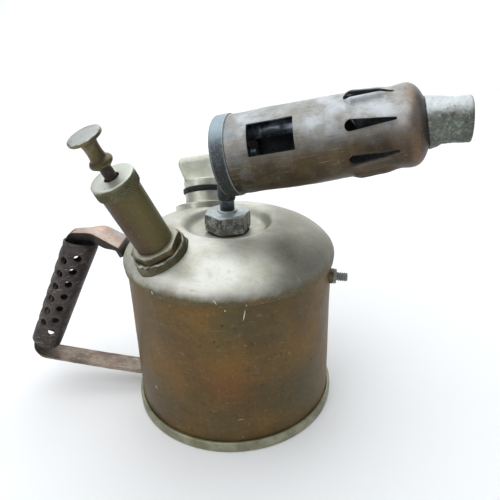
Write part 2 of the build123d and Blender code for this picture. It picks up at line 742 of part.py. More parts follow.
# ================================================================ side stud
with BuildPart() as stud_boss:
    with BuildSketch(Plane(origin=(TANK_R - 3, 0, STUD_Z), x_dir=(0, 1, 0), z_dir=(1, 0, 0))):
        Rectangle(7.4, 7.4)
    extrude(amount=4.6)
    add(crown_block.part, mode=Mode.SUBTRACT)
    with BuildSketch(Plane.XY):
        Circle(TANK_R + 0.01)
    extrude(amount=SKIRT_Z, mode=Mode.SUBTRACT)
    with BuildSketch(Plane(origin=(0, 0, STUD_Z), x_dir=(0, 1, 0), z_dir=(1, 0, 0))):
        Circle(2.05)
    extrude(amount=80, mode=Mode.SUBTRACT)
save(stud_boss, "stud_boss")

with BuildPart() as side_stud:
    with BuildSketch(Plane(origin=(TANK_R + 0.2, 0, STUD_Z), x_dir=(0, 1, 0), z_dir=(1, 0, 0))):
        Circle(2.0)
    extrude(amount=1.4)
    with BuildSketch(Plane(origin=(TANK_R + 1.6, 0, STUD_Z), x_dir=(0, 1, 0), z_dir=(1, 0, 0))):
        Circle(4.4)
    extrude(amount=1.8)
    with BuildSketch(Plane(origin=(TANK_R + 3.4, 0, STUD_Z), x_dir=(0, 1, 0), z_dir=(1, 0, 0))):
        Circle(2.75)
    extrude(amount=6.6)
    chamfer(side_stud.faces().sort_by(Axis.X)[-1].edges(), 0.5)
save(side_stud, "side_stud")
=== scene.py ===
"""Looks of an old brass pressure blowlamp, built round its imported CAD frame."""
import math

import bmesh
import bpy
import numpy as np
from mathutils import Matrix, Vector


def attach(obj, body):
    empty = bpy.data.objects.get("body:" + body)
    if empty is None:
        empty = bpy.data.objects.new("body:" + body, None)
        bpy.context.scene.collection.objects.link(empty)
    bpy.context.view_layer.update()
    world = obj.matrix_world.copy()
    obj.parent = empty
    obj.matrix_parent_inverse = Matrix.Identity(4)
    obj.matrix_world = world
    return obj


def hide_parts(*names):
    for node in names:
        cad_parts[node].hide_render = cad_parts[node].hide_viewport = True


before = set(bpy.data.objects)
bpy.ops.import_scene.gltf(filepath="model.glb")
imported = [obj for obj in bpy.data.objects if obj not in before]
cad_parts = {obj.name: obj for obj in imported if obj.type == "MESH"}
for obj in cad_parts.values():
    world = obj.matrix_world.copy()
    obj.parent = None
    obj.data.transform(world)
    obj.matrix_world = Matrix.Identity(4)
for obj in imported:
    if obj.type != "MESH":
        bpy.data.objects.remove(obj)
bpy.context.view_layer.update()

MM = 0.001              # the shapes below are worked out in millimetres


# ================================================================ shape tools
def unit(v):
    v = np.array(v, float)
    return v / np.linalg.norm(v)


class Axes:
    """A place to turn a shape about: origin, direction of angle 0 and the turning axis."""

    def __init__(self, origin, x, z):
        self.o = np.array(origin, float)
        self.z = unit(z)
        x = np.array(x, float)
        self.x = unit(x - self.z * (x @ self.z))
        self.y = np.cross(self.z, self.x)

    def at(self, s, r=0.0, a=0.0):
        s, r, a = np.broadcast_arrays(np.asarray(s, float), r, a)
        side = np.cos(a)[..., None] * self.x + np.sin(a)[..., None] * self.y
        return self.o + s[..., None] * self.z + r[..., None] * side


def ramp(value, low, high):
    """0 below low, 1 above high, smooth in between."""
    t = np.clip((np.asarray(value, float) - low) / (high - low), 0, 1)
    return t * t * (3 - 2 * t)


def path(*corners, steps=5):
    """Outline through corners (x, y) or (x, y, fillet radius)."""
    made = []
    for i, corner in enumerate(corners):
        here = np.array(corner[:2], float)
        if len(corner) == 2 or i in (0, len(corners) - 1):
            made.append(here)
            continue
        before = np.array(corners[i - 1][:2], float) - here
        after = np.array(corners[i + 1][:2], float) - here
        room = 0.48 * min(np.linalg.norm(before), np.linalg.norm(after))
        before, after = unit(before), unit(after)
        half = math.acos(np.clip(before @ after, -1, 1)) / 2
        reach = min(corner[2] / math.tan(half), room)
        radius = reach * math.tan(half)
        centre = here + unit(before + after) * radius / math.sin(half)
        start, end = here + before * reach - centre, here + after * reach - centre
        bend = math.acos(np.clip(unit(start) @ unit(end), -1, 1))
        for k in range(steps + 1):
            t = k / steps
            if bend < 1e-4:
                made.append(centre + start * (1 - t) + end * t)
            else:
                sweep = start * math.sin(bend * (1 - t)) + end * math.sin(bend * t)
                made.append(centre + sweep / math.sin(bend))
    return np.array(made)


def curve(points, per=6):
    """Smooth line through points."""
    p = np.array(points, float)
    p = np.vstack([2 * p[0] - p[1], p, 2 * p[-1] - p[-2]])
    made = []
    for i in range(1, len(p) - 2):
        for k in range(per):
            t = k / per
            a, b, c, d = p[i - 1], p[i], p[i + 1], p[i + 2]
            made.append(0.5 * (2 * b + (c - a) * t + (2 * a - 5 * b + 4 * c - d) * t ** 2
                               + (3 * b - a - 3 * c + d) * t ** 3))
    made.append(p[-2])
    return np.array(made)


def spaced(line, step):
    """The same line with points about one step apart."""
    line = np.asarray(line, float)
    reach = np.concatenate([[0], np.cumsum(np.linalg.norm(np.diff(line, axis=0), axis=1))])
    want = np.linspace(0, reach[-1], max(2, int(math.ceil(reach[-1] / step)) + 1))
    return np.stack([np.interp(want, reach, line[:, k]) for k in range(line.shape[1])], axis=1)


def wobble(p, size, seed):
    """Smooth irregular field of about -1 to 1 over points in millimetres."""
    rng = np.random.default_rng(seed)
    total = 0
    for _ in range(7):
        direction = unit(rng.normal(size=3)) * 2 * math.pi / (size * rng.uniform(0.7, 1.6))
        total = total + np.sin(p @ direction + rng.uniform(0, 2 * math.pi))
    return total / 3.5


def make(name, verts, faces, material, body="tank", replaces=(), slot=None, crease=38, extra=None):
    """Mesh piece from points in millimetres: smooth faces, sharp creases and a wear mask on its edges."""
    bm = bmesh.new()
    layer = bm.verts.layers.float.new("inner") if extra is not None else None
    for i, v in enumerate(np.asarray(verts) * MM):
        made = bm.verts.new(v)
        if layer is not None:
            made[layer] = float(extra[i])
    bm.verts.ensure_lookup_table()
    for f in faces:
        if len(set(f)) > 2:
            try:
                bm.faces.new([bm.verts[i] for i in f])
            except ValueError:
                pass
    bmesh.ops.remove_doubles(bm, verts=bm.verts, dist=2e-7)
    bmesh.ops.recalc_face_normals(bm, faces=bm.faces)
    worn = {}
    for e in bm.edges:
        if len(e.link_faces) != 2:
            continue
        bend = math.degrees(e.calc_face_angle_signed(0.0))
        e.smooth = abs(bend) < crease
        for v in e.verts:
            worn[v] = max(worn.get(v, 0.0), min(1.0, max(0.0, bend - 4.0) / 26.0))
    wear = bm.verts.layers.float.new("wear")
    for v in bm.verts:
        near = [worn.get(e.other_vert(v), 0.0) for e in v.link_edges]
        v[wear] = max(worn.get(v, 0.0), 0.45 * max(near, default=0.0))
    for f in bm.faces:
        f.smooth = True
    mesh = bpy.data.meshes.new(name)
    bm.to_mesh(mesh)
    bm.free()
    obj = bpy.data.objects.new(name, mesh)
    bpy.context.scene.collection.objects.link(obj)
    obj.data.materials.append(material)
    if replaces:
        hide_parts(*([replaces] if isinstance(replaces, str) else replaces))
    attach(obj, body)
    return obj


def ring_faces(rows, turns, closed):
    faces = []
    for i in range(rows if closed else rows - 1):
        k = (i + 1) % rows
        for j in range(turns):
            n = (j + 1) % turns
            faces.append((i * turns + j, i * turns + n, k * turns + n, k * turns + j))
    return faces


def turned(name, axes, outline, material, turns=160, shape=None, closed=True, bend=None, **more):
    """Shape of revolution. outline is a list of (station, radius); closed is False where it starts and ends
    on the axis. shape(station, radius, angle) may change both, and bend(points) moves the points."""
    outline = np.asarray(outline, float)
    s = np.repeat(outline[:, :1], turns, axis=1)
    r = np.repeat(outline[:, 1:2], turns, axis=1)
    a = np.repeat(full_turn(turns)[None, :], len(outline), axis=0)
    if shape:
        s, r = shape(s, r, a)
    verts = axes.at(s, r, a).reshape(-1, 3)
    if bend:
        verts = bend(verts)
    return make(name, verts, ring_faces(len(outline), turns, closed), material, **more)


def full_turn(count):
    """Angles evenly spaced round one turn."""
    return np.arange(count) * 2 * math.pi / count


def pierced(name, us, vs, gap, place, thickness, material, **more):
    """Sheet over the grid us by vs, where vs runs once round, with holes where gap(u, v) is below 0.
    place(u, v, depth) gives the points of the outside (depth 0) and the inside."""
    us, vs = np.asarray(us, float), np.asarray(vs, float)
    nu, nv = len(us), len(vs)
    turn = vs[1] - vs[0]
    grid_u, grid_v = np.meshgrid(us, np.append(vs, vs[-1] + turn), indexing="ij")
    f = gap(grid_u, grid_v)
    f[:, -1] = f[:, 0]
    points, index, faces = [], {}, []

    def corner(i, j):
        key = (i, j % nv)
        if key not in index:
            index[key] = len(points)
            points.append((us[i], vs[j % nv]))
        return index[key]

    def crossing(i, j, k, l):
        key = tuple(sorted(((i, j % nv), (k, l % nv))))
        if key not in index:
            t = f[i, j] / (f[i, j] - f[k, l])
            index[key] = len(points)
            points.append((us[i] + (us[k] - us[i]) * t, vs[0] + turn * (j + (l - j) * t)))
        return index[key]

    for i in range(nu - 1):
        for j in range(nv):
            corners = [(i, j), (i + 1, j), (i + 1, j + 1), (i, j + 1)]
            inside = [f[c] >= 0 for c in corners]
            if not any(inside):
                continue
            if all(inside):
                faces.append([corner(*c) for c in corners])
                continue
            loop = []
            for c, n, here, there in zip(corners, corners[1:] + corners[:1], inside, inside[1:] + inside[:1]):
                if here:
                    loop.append(corner(*c))
                if here != there:
                    loop.append(crossing(*c, *n))
            if len(loop) > 2:
                faces.append(loop)
    u, v = np.array(points).T
    outside, under = place(u, v, 0.0), place(u, v, thickness)
    n = len(points)
    edges = {}
    for face in faces:
        for a, b in zip(face, face[1:] + face[:1]):
            edges[(a, b)] = True
    rims = [(a, b) for a, b in edges if (b, a) not in edges]
    walls = [[b, a, a + n, b + n] for a, b in rims]
    both = faces + [[i + n for i in reversed(face)] for face in faces] + walls
    inner = np.concatenate([np.zeros(n), np.ones(n)])
    return make(name, np.vstack([outside, under]), both, material, extra=inner, **more)


# ================================================================ material tools
def tint(*shade):
    """Linear colour of a display colour given as 0 to 255."""
    linear = [((c / 255 + 0.055) / 1.055) ** 2.4 if c > 10 else c / 255 / 12.92 for c in shade]
    return (*linear, 1.0)


class Paint:
    """One node material. Its coordinates are the piece's own, in millimetres."""

    def __init__(self, name, **sockets):
        self.material = bpy.data.materials.new(name)
        self.material.use_nodes = True
        self.nodes = self.material.node_tree.nodes
        self.links = self.material.node_tree.links
        self.bsdf = self.nodes["Principled BSDF"]
        for key, value in sockets.items():
            self.bsdf.inputs[key.replace("_", " ")].default_value = value
        coords = self.node("ShaderNodeTexCoord", {}, "Object")
        self.mm = self.node("ShaderNodeMapping", {"Vector": coords, "Scale": (1 / MM, 1 / MM, 1 / MM)})
        self.colour = None
        self.height = None

    def put(self, socket, value):
        if isinstance(value, bpy.types.NodeSocket):
            self.links.new(value, socket)
        else:
            socket.default_value = value

    def node(self, kind, sockets, output=0, **settings):
        """One of the outputs of a new node, with its sockets and settings filled in."""
        node = self.nodes.new(kind)
        for key, value in settings.items():
            setattr(node, key, value)
        for key, value in sockets.items():
            self.put(node.inputs[key], value)
        return node.outputs[output]

    def turned_to(self, x, y, z):
        """Coordinates measured along three directions."""
        return self.node("ShaderNodeCombineXYZ", {0: self.along(x), 1: self.along(y), 2: self.along(z)})

    def along(self, direction, origin=(0, 0, 0)):
        """Distance of a point along a direction from an origin."""
        sockets = {0: self.mm, 1: tuple(float(c) for c in direction)}
        dot = self.node("ShaderNodeVectorMath", sockets, "Value", operation="DOT_PRODUCT")
        return self.sum(dot, -float(np.dot(direction, origin)))

    def far_from(self, point):
        """Distance from a point."""
        sockets = {0: self.mm, 1: tuple(float(c) for c in point)}
        return self.node("ShaderNodeVectorMath", sockets, "Value", operation="DISTANCE")

    def stretched(self, factors):
        return self.node("ShaderNodeMapping", {"Vector": self.mm, "Scale": factors})

    def noise(self, size, detail=4.0, rough=0.55, warp=0.0, coords=None, seed=0.0):
        sockets = {"Vector": coords or self.mm, "W": seed, "Scale": 1.0 / size, "Detail": detail,
                   "Roughness": rough, "Distortion": warp}
        return self.node("ShaderNodeTexNoise", sockets, "Fac", noise_dimensions="4D")

    def cells(self, size):
        """Distance to the nearest of scattered points, one to a cell of a size."""
        return self.node("ShaderNodeTexVoronoi", {"Vector": self.mm, "Scale": 1.0 / size}, "Distance")

    def do(self, operation, a, b):
        return self.node("ShaderNodeMath", {0: a, 1: b}, operation=operation)

    def sum(self, a, b):
        return self.do("ADD", a, b)

    def times(self, a, b):
        return self.do("MULTIPLY", a, b)

    def flip(self, a):
        return self.do("SUBTRACT", 1.0, a)

    def step(self, value, low, high, to_low=0.0, to_high=1.0):
        """Smooth step of a value from low to high."""
        sockets = {"Value": value, "From Min": low, "From Max": high, "To Min": to_low, "To Max": to_high}
        return self.node("ShaderNodeMapRange", sockets, "Result", interpolation_type="SMOOTHSTEP")

    def mix(self, factor, a, b):
        return self.node("ShaderNodeMix", {0: factor, 6: a, 7: b}, 2, data_type="RGBA")

    def mask(self, name):
        """A mask that the mesh carries."""
        return self.node("ShaderNodeAttribute", {}, "Fac", attribute_name=name)

    def wander(self, value, field, reach):
        """The value moved up and down by a 0 to 1 field, over a reach in millimetres."""
        return self.sum(value, self.times(self.sum(field, -0.5), reach))

    def specks(self, size, edge, area, seed, border):
        """Spots one to a cell of a size, kept to a few areas; edge and border limit the two steps."""
        spots = self.step(self.cells(size), *edge)
        return self.times(spots, self.step(self.noise(area, 2, seed=seed), *border))

    def start(self, mask, one, two):
        """First colour: a blend of two shades."""
        self.colour = self.mix(mask, tint(*one), tint(*two))

    def over(self, mask, shade, amount=None):
        """Lays a shade over the colour where the mask is 1, at full strength or at an amount."""
        if amount is not None:
            mask = self.times(mask, amount)
        self.colour = self.mix(mask, self.colour, tint(*shade))

    def rub_edges(self, size, seed, shade, amount=None, low=0.3, high=0.5):
        """Lays a shade over the edges that stand out, broken up by noise."""
        broken = self.step(self.noise(size, 3, seed=seed), low, high)
        self.over(self.times(self.mask("wear"), broken), shade, amount)

    def grit(self, size, seed, dark=0.4, pale=0.25):
        """Fine uneven wear: darker and lighter flecks."""
        field = self.noise(size, 6, 0.75, seed=seed)
        self.over(self.step(field, 0.54, 0.7, 0, dark), (38, 33, 25))
        self.over(self.step(field, 0.45, 0.3, 0, pale), (204, 200, 184))

    def bump(self, height, depth, strength=1.0):
        """Adds relief: height is a 0 to 1 field, depth its size in millimetres."""
        sockets = {"Strength": strength, "Distance": depth * MM, "Height": height}
        if self.height is not None:
            sockets["Normal"] = self.height
        self.height = self.node("ShaderNodeBump", sockets)

    def finish(self, roughness, metallic=None):
        self.put(self.bsdf.inputs["Base Color"], self.colour)
        self.put(self.bsdf.inputs["Roughness"], roughness)
        if metallic is not None:
            self.put(self.bsdf.inputs["Metallic"], metallic)
        if self.height is not None:
            self.links.new(self.height, self.bsdf.inputs["Normal"])
        return self.material


# ================================================================ the lamp's own axes
TANK_R, RIM_R, RIM_H = 62.0, 64.1, 6.6
SKIRT_Z = 97.0          # lower edge of the top shell
CUP_FLOOR = 113.5       # bottom of the shallow cup in its middle
# (radius, height) points of the top shell's outside, then of the cup's side
CROWN = [(63.35, 99.2), (63.55, 100.6), (63.3, 102.2), (62.3, 104.2), (60.3, 106.6),
         (56.5, 109.8), (51.5, 112.9), (45.5, 115.7), (39.0, 117.9), (32.5, 119.3), (28.2, 119.7)]
CUP = [(26.2, 118.9), (24.6, 117.0), (23.4, 115.2), (21.8, 113.9), (20.0, 113.5)]
# height of the burner's axis over the tank's middle, and its tilt; (station, radius) points of the flame tube
TUBE_Z, TILT = 158.0, math.radians(11.1)
TUBE = [(7.9, 22.1), (30.0, 22.15), (52.0, 22.0), (70.0, 21.4), (82.0, 20.6), (88.5, 20.35),
        (94.0, 20.6), (98.5, 20.95), (101.5, 20.5), (104.0, 18.9), (106.0, 16.2), (107.2, 13.6)]
BURN_D = np.array([math.cos(TILT), 0, math.sin(TILT)])
BURN_U = np.array([-math.sin(TILT), 0, math.cos(TILT)])
TANK = Axes((0, 0, 0), (1, 0, 0), (0, 0, 1))
BURNER = Axes((0, 0, TUBE_Z), BURN_U, BURN_D)


def leaning(origin, axis):
    """Axes of a part that leans: angle 0 is level."""
    axis = unit(axis)
    return Axes(origin, np.cross(axis, (0, 0, 1)), axis)


PUMP = leaning((-25.5, -39.6, 112.9), (-0.235, -0.364, 0.901))
FILL_LEAN, FILL_TOWARDS, FILL_AT = math.radians(27), math.radians(113), math.radians(126)
FILL_R, FILL_Z = 46.5, 115.2
FILLER = leaning((FILL_R * math.cos(FILL_AT), FILL_R * math.sin(FILL_AT), FILL_Z),
                 (math.sin(FILL_LEAN) * math.cos(FILL_TOWARDS), math.sin(FILL_LEAN) * math.sin(FILL_TOWARDS),
                  math.cos(FILL_LEAN)))
HANDLE_AT = math.radians(190)
OUT = np.array([math.cos(HANDLE_AT), math.sin(HANDLE_AT), 0])
ACROSS = np.array([OUT[1], -OUT[0], 0])
UP = np.array([0, 0, 1.0])


def crown_height(radius):
    """Height of the top shell's outside at a distance from the tank's axis."""
    line = curve(CROWN, 6)[4:]
    order = np.argsort(line[:, 0])
    return np.interp(radius, line[:, 0][order], line[:, 1][order])


# ================================================================ materials
# soft patches on the tank's wall: centre, reach, colour, strength
BLUSHES = [((14, -60.5, 46), 21, (126, 80, 40), 0.5), ((19, -59, 64), 15, (122, 90, 46), 0.4),
           ((-12, -61, 60), 26, (108, 78, 42), 0.4), ((20, -58, 88), 14, (80, 76, 52), 0.6),
           ((50, -36, 34), 22, (76, 72, 50), 0.7), ((-26, -56, 24), 26, (78, 70, 52), 0.6),
           ((10, -61, 12), 22, (84, 78, 52), 0.5)]


def tank_paint():
    """Brass gone brown and olive, with orange blushes and dark specks."""
    p = Paint("tank_brown_brass", Metallic=0.55, Specular_IOR_Level=0.45)
    cloud = p.noise(34, 5, 0.6, 0.6)
    fine = p.noise(5, 6, 0.65)
    p.start(p.step(cloud, 0.36, 0.64), (86, 70, 40), (116, 89, 46))
    p.over(p.step(p.noise(18, 5, 0.6, seed=3), 0.5, 0.75), (94, 82, 50))
    for at, reach, shade, amount in BLUSHES:
        ragged = p.sum(p.far_from(at), p.times(p.noise(7, 4, 0.6, seed=at[2]), 14.0))
        p.over(p.step(ragged, reach + 9, 8), shade, amount)
    p.over(p.step(fine, 0.56, 0.72, 0, 0.45), (66, 54, 36))
    p.over(p.specks(7.5, (0.16, 0.07), 11, 8, (0.52, 0.62)), (46, 42, 30), 0.7)
    p.over(p.specks(13, (0.11, 0.04), 17, 5, (0.55, 0.62)), (92, 124, 104), 0.6)
    p.rub_edges(4, 2, (172, 164, 132), 0.8, high=0.55)
    # rubbing marks: long fine lines, mostly level
    lines = p.noise(1.3, 3, 0.6, coords=p.stretched((0.06, 0.06, 1.0)), seed=4)
    p.over(p.step(lines, 0.6, 0.78), (150, 136, 100), 0.24)
    p.over(p.step(lines, 0.42, 0.26, 0, 0.3), (56, 48, 32))
    p.grit(2.2, 21, 0.55, 0.14)
    rough = p.sum(p.step(cloud, 0.3, 0.7, 0.36, 0.52), p.times(fine, 0.1))
    p.bump(cloud, 0.25, 0.5)
    p.bump(fine, 0.05, 0.5)
    p.bump(lines, 0.02, 0.5)
    return p.finish(rough)


def dome_paint():
    """The top shell: pale above, partly rubbed and partly painted sky reflection; rougher and brown towards
    the shoulder.
    """
    p = Paint("dome_pale_brass", Metallic=0.62)
    cloud = p.noise(26, 5, 0.6, 0.5)
    fine = p.noise(3.5, 6, 0.65, seed=2)
    p.start(p.step(cloud, 0.34, 0.66), (209, 209, 200), (187, 185, 170))
    p.over(p.step(p.noise(9, 5, 0.6, seed=6), 0.5, 0.7, 0, 0.5), (168, 162, 138))
    edge = p.wander(p.along(UP), p.noise(9, 5, 0.6, seed=1), 5.0)
    brown = p.mix(p.step(p.noise(14, 4, seed=9), 0.4, 0.6), tint(104, 88, 56), tint(92, 82, 56))
    # painted shade: darker towards the side away from the pump
    p.over(p.step(p.wander(p.along((0.97, 0.24, 0)), cloud, 14.0), 16, 34), (112, 108, 92), 0.7)
    # by height: brown round the shoulder and pale above it, partly patina and partly painted reflection
    p.colour = p.mix(p.step(edge, 99.5, 104.8), brown, p.colour)
    p.over(p.specks(9, (0.2, 0.06), 15, 12, (0.52, 0.62)), (120, 116, 92), 0.35)
    rings = p.noise(0.9, 3, 0.6, coords=p.stretched((0.08, 1.0, 0.5)), seed=7)
    p.over(p.step(rings, 0.58, 0.8, 0, 0.3), (238, 237, 230))
    p.over(p.step(rings, 0.44, 0.28, 0, 0.3), (120, 114, 96))
    p.grit(1.8, 22, 0.25, 0.2)
    p.over(p.mask("wear"), (196, 190, 166), 0.4)
    rough = p.step(cloud, 0.3, 0.7, 0.33, 0.46)
    rough = p.sum(rough, p.times(p.step(edge, 108, 101), 0.12))
    rough = p.sum(rough, p.times(fine, 0.08))
    p.bump(p.noise(16, 3, 0.5, seed=3), 0.3, 0.5)
    p.bump(fine, 0.035, 0.5)
    p.bump(rings, 0.03, 0.8)
    return p.finish(rough)


def tube_paint():
    """Flame tube: silvery above and brown below, partly painted reflection and shade; soot inside, orange
    blush at the shoulder.
    """
    p = Paint("flame_tube_brass", Metallic=0.75)
    up = p.along(BURN_U, BURNER.o)
    along = p.along(BURN_D, BURNER.o)
    cloud = p.noise(22, 5, 0.6, 0.4)
    fine = p.noise(3, 6, 0.65)
    # height of the brown's upper edge wanders along the tube
    edge = p.wander(up, p.noise(14, 4, 0.6, seed=2), 14.0)
    # painted sky reflection: silvery over the upper side; the brown below is partly burnt colour and partly
    # painted shade
    painted_sky_silver = p.mix(p.step(cloud, 0.35, 0.65), tint(176, 180, 184), tint(144, 143, 138))
    brown = p.mix(p.step(p.noise(19, 5, seed=4), 0.38, 0.62), tint(86, 71, 49), tint(70, 60, 44))
    p.colour = p.mix(p.step(edge, -6, 14), brown, painted_sky_silver)
    p.over(p.step(p.noise(9, 5, 0.6, seed=7), 0.42, 0.66), (108, 97, 78), 0.55)
    # heat colours near the front
    warm = p.times(p.step(along, 84, 101), p.step(p.noise(10, 4, seed=5), 0.36, 0.6))
    p.over(warm, (136, 108, 78), 0.25)
    # painted shade: darker on the underside of the tube towards the front
    painted_underside_shade = p.times(p.step(along, 66, 92), p.step(up, 6, -8))
    p.over(painted_underside_shade, (60, 50, 42), 0.6)
    rim = p.times(p.step(along, 98, 101.5), p.step(along, 106, 102.5))
    p.over(rim, (128, 100, 74), 0.45)
    p.over(p.step(along, 103, 106.5), (58, 48, 40), 0.7)
    blue = p.times(p.step(along, 24, 12), p.step(p.noise(8, 3, seed=6), 0.45, 0.6))
    p.over(blue, (116, 122, 128), 0.45)
    p.over(p.specks(3.6, (0.2, 0.08), 9, 3, (0.55, 0.66)), (70, 62, 52), 0.5)
    p.rub_edges(2.5, 9, (206, 202, 190))
    inner = p.mask("inner")
    soot = p.mix(p.step(p.noise(6, 4, seed=8), 0.4, 0.7), tint(66, 68, 72), tint(98, 104, 110))
    p.colour = p.mix(p.step(inner, 0.3, 0.7), p.colour, soot)
    lines = p.noise(0.8, 3, 0.6, coords=p.turned_to(BURN_D * 0.05, BURN_U, (0, 1, 0)), seed=1)
    p.over(p.step(lines, 0.58, 0.8), (208, 206, 200), p.times(p.flip(inner), 0.3))
    p.over(p.step(lines, 0.44, 0.26, 0, 0.45), (58, 50, 42))
    p.grit(1.7, 23, 0.35, 0.2)
    rough = p.step(cloud, 0.3, 0.7, 0.34, 0.47)
    rough = p.sum(rough, p.times(p.step(edge, 10, -10), 0.08))
    rough = p.sum(rough, p.times(inner, 0.35))
    p.bump(p.noise(12, 3, 0.5, seed=11), 0.35, 0.5)
    p.bump(fine, 0.05, 0.6)
    p.bump(lines, 0.02, 0.5)
    metal = p.step(inner, 0.7, 0.3, 0.15, 0.75)
    return p.finish(rough, metal)


def cast_paint(name, dark, mid, light, green, seed, pit=1.0, low=(40, 40, 37), metallic=0.5, painted_light_line=2):
    """Rough cast metal, greyed, with verdigris in its pits, light rubbed edges, a painted highlight above and
    painted shade below.
    """
    p = Paint(name, Metallic=metallic, Specular_IOR_Level=0.5)
    cloud = p.noise(9, 5, 0.6, 0.5, seed=seed)
    grain = p.noise(1.6, 5, 0.7, seed=seed + 1)
    p.start(p.step(cloud, 0.36, 0.64), dark, mid)
    p.over(p.step(grain, 0.5, 0.72, 0, 0.6), light)
    # painted highlight on the upper side and painted shade on the lower side, about a wandering height
    height = p.wander(p.along(BURN_U, BURNER.o), cloud, 9.0)
    p.over(p.step(height, painted_light_line, painted_light_line + 9), light)
    p.over(p.step(height, painted_light_line, painted_light_line - 12, 0, 0.85), low)
    bloom = p.times(p.step(p.noise(5, 4, 0.7, seed=seed + 2), 0.5, 0.64), p.step(grain, 0.42, 0.58))
    bloom = p.times(bloom, p.step(height, 7, -2, 0.15, 1.0))
    p.over(bloom, (128, 152, 138), green)
    rust = p.step(p.noise(13, 3, 0.6, seed=seed + 3), 0.56, 0.72)
    p.over(rust, (112, 88, 58), 0.4)
    spots = p.step(p.cells(2.1), 0.2, 0.08)
    p.grit(1.1, seed + 4, 0.4, 0.3)
    p.over(spots, (38, 38, 36), 0.45)
    p.over(p.mask("wear"), (176, 180, 176), 0.6)
    rough = p.step(cloud, 0.3, 0.7, 0.42, 0.6)
    p.bump(cloud, 0.5, 0.5)
    p.bump(grain, 0.16 * pit, 0.8)
    p.bump(p.flip(spots), 0.1 * pit, 0.6)
    return p.finish(rough)


def worn_brass(name, base, dark, pale, seed, grain=None, rough=(0.32, 0.48), metallic=0.75, wear=0.8,
               streak=0.2, top=None, patches=0.0):
    """Handled brass: a patina of two shades, darker stains, pale rubbed edges and fine turning marks.
    grain gives the three directions of the marks, top a painted highlight towards one end or side:
    (direction, origin, low, high, shade)."""
    p = Paint(name, Metallic=metallic)
    cloud = p.noise(12, 5, 0.6, 0.4, seed=seed)
    fine = p.noise(2.2, 6, 0.65, seed=seed + 1)
    p.start(p.step(cloud, 0.36, 0.64), base, dark)
    p.over(p.step(p.noise(5, 5, 0.65, seed=seed + 2), 0.52, 0.72, 0, 0.5), [0.75 * c for c in dark])
    if top:
        direction, origin, low, high, shade = top
        # painted highlight: lighter towards one end or side
        p.over(p.step(p.wander(p.along(direction, origin), fine, 1.2), low, high), shade)
    if patches:
        bare = p.step(p.noise(4.0, 6, 0.75, 0.6, seed=seed + 6), 0.46, 0.6)
        p.over(bare, pale, patches)
    p.rub_edges(1.8, seed + 3, pale, wear, low=0.28)
    p.over(p.specks(2.8, (0.18, 0.07), 7, seed + 4, (0.54, 0.64)), (52, 48, 36), 0.55)
    p.grit(1.4, seed + 5, 0.35, 0.15)
    marks_along = p.turned_to(*grain) if grain else p.stretched((0.1, 0.1, 1.0))
    marks = p.noise(0.7, 3, 0.6, coords=marks_along, seed=seed)
    p.over(p.step(marks, 0.58, 0.8, 0, streak), pale)
    roughness = p.sum(p.step(cloud, 0.3, 0.7, rough[0], rough[1]), p.times(fine, 0.08))
    p.bump(cloud, 0.12, 0.4)
    p.bump(fine, 0.04, 0.6)
    p.bump(marks, 0.018, 0.5)
    return p.finish(roughness)


def dark_steel(name, base, dark, pale, seed, rust, rough=(0.42, 0.6), metallic=0.6, wear=0.7,
               side=(36, 33, 31), stain=None):
    """Oxidised steel with light edges and a bloom; rust is the bloom's colour and strength."""
    p = Paint(name, Metallic=metallic)
    cloud = p.noise(10, 5, 0.6, 0.4, seed=seed)
    fine = p.noise(1.6, 6, 0.7, seed=seed + 1)
    p.start(p.step(cloud, 0.36, 0.64), base, dark)
    bloom = p.step(p.noise(6, 5, 0.65, seed=seed + 2), 0.48, 0.7)
    p.over(bloom, *rust)
    p.over(p.step(fine, 0.56, 0.75, 0, 0.4), [0.6 * c for c in dark])
    scuffs = p.noise(0.9, 3, 0.6, coords=p.stretched((0.12, 0.5, 1.0)), seed=seed + 3)
    p.over(p.step(scuffs, 0.56, 0.76, 0, 0.5), pale)
    p.over(p.step(scuffs, 0.44, 0.28, 0, 0.5), [0.6 * c for c in dark])
    if stain:
        near = p.sum(p.far_from(stain), p.times(cloud, 8.0))
        p.over(p.step(near, 26, 10, 0, 0.75), (50, 45, 42))
    p.rub_edges(1.6, seed + 4, pale, wear)
    p.grit(1.2, seed + 5, 0.4, 0.2)
    # painted shade: the sides, undersides and insides of the sheet are darker
    p.over(p.mask("inner"), side, 0.94)
    roughness = p.sum(p.step(cloud, 0.3, 0.7, rough[0], rough[1]), p.times(fine, 0.1))
    p.bump(cloud, 0.15, 0.4)
    p.bump(fine, 0.07, 0.7)
    p.bump(scuffs, 0.03, 0.5)
    return p.finish(roughness)


def sooty_pipe(name, seed, base=(38, 39, 42), scale=(84, 94, 104)):
    """Pipe in the flame: soot black with blue-grey scale where it is rubbed."""
    p = Paint(name, Metallic=0.55)
    cloud = p.noise(7, 5, 0.6, 0.6, seed=seed)
    fine = p.noise(1.3, 5, 0.7, seed=seed + 1)
    p.start(p.step(cloud, 0.42, 0.62), base, scale)
    p.over(p.step(fine, 0.5, 0.75, 0, 0.7), (26, 26, 27))
    # blackest where the flame burns
    p.over(p.step(p.along(BURN_D, BURNER.o), 44, 56), (22, 22, 23))
    rough = p.step(cloud, 0.35, 0.65, 0.52, 0.3)
    p.bump(cloud, 0.5, 0.6)
    p.bump(fine, 0.12, 0.7)
    return p.finish(rough)


def soft_paint(name, base, dark, size, rough):
    """Rubber, leather or fibre: uneven dull surface with a fine grain."""
    p = Paint(name, Specular_IOR_Level=0.35)
    cloud = p.noise(size * 4, 4, 0.6)
    grain = p.noise(size, 5, 0.7, seed=3)
    p.start(p.step(cloud, 0.35, 0.65), base, dark)
    p.over(p.step(grain, 0.55, 0.8, 0, 0.4), [1.5 * c for c in base])
    p.bump(grain, 0.08, 0.6)
    return p.finish(p.step(cloud, 0.3, 0.7, rough - 0.08, rough + 0.08))


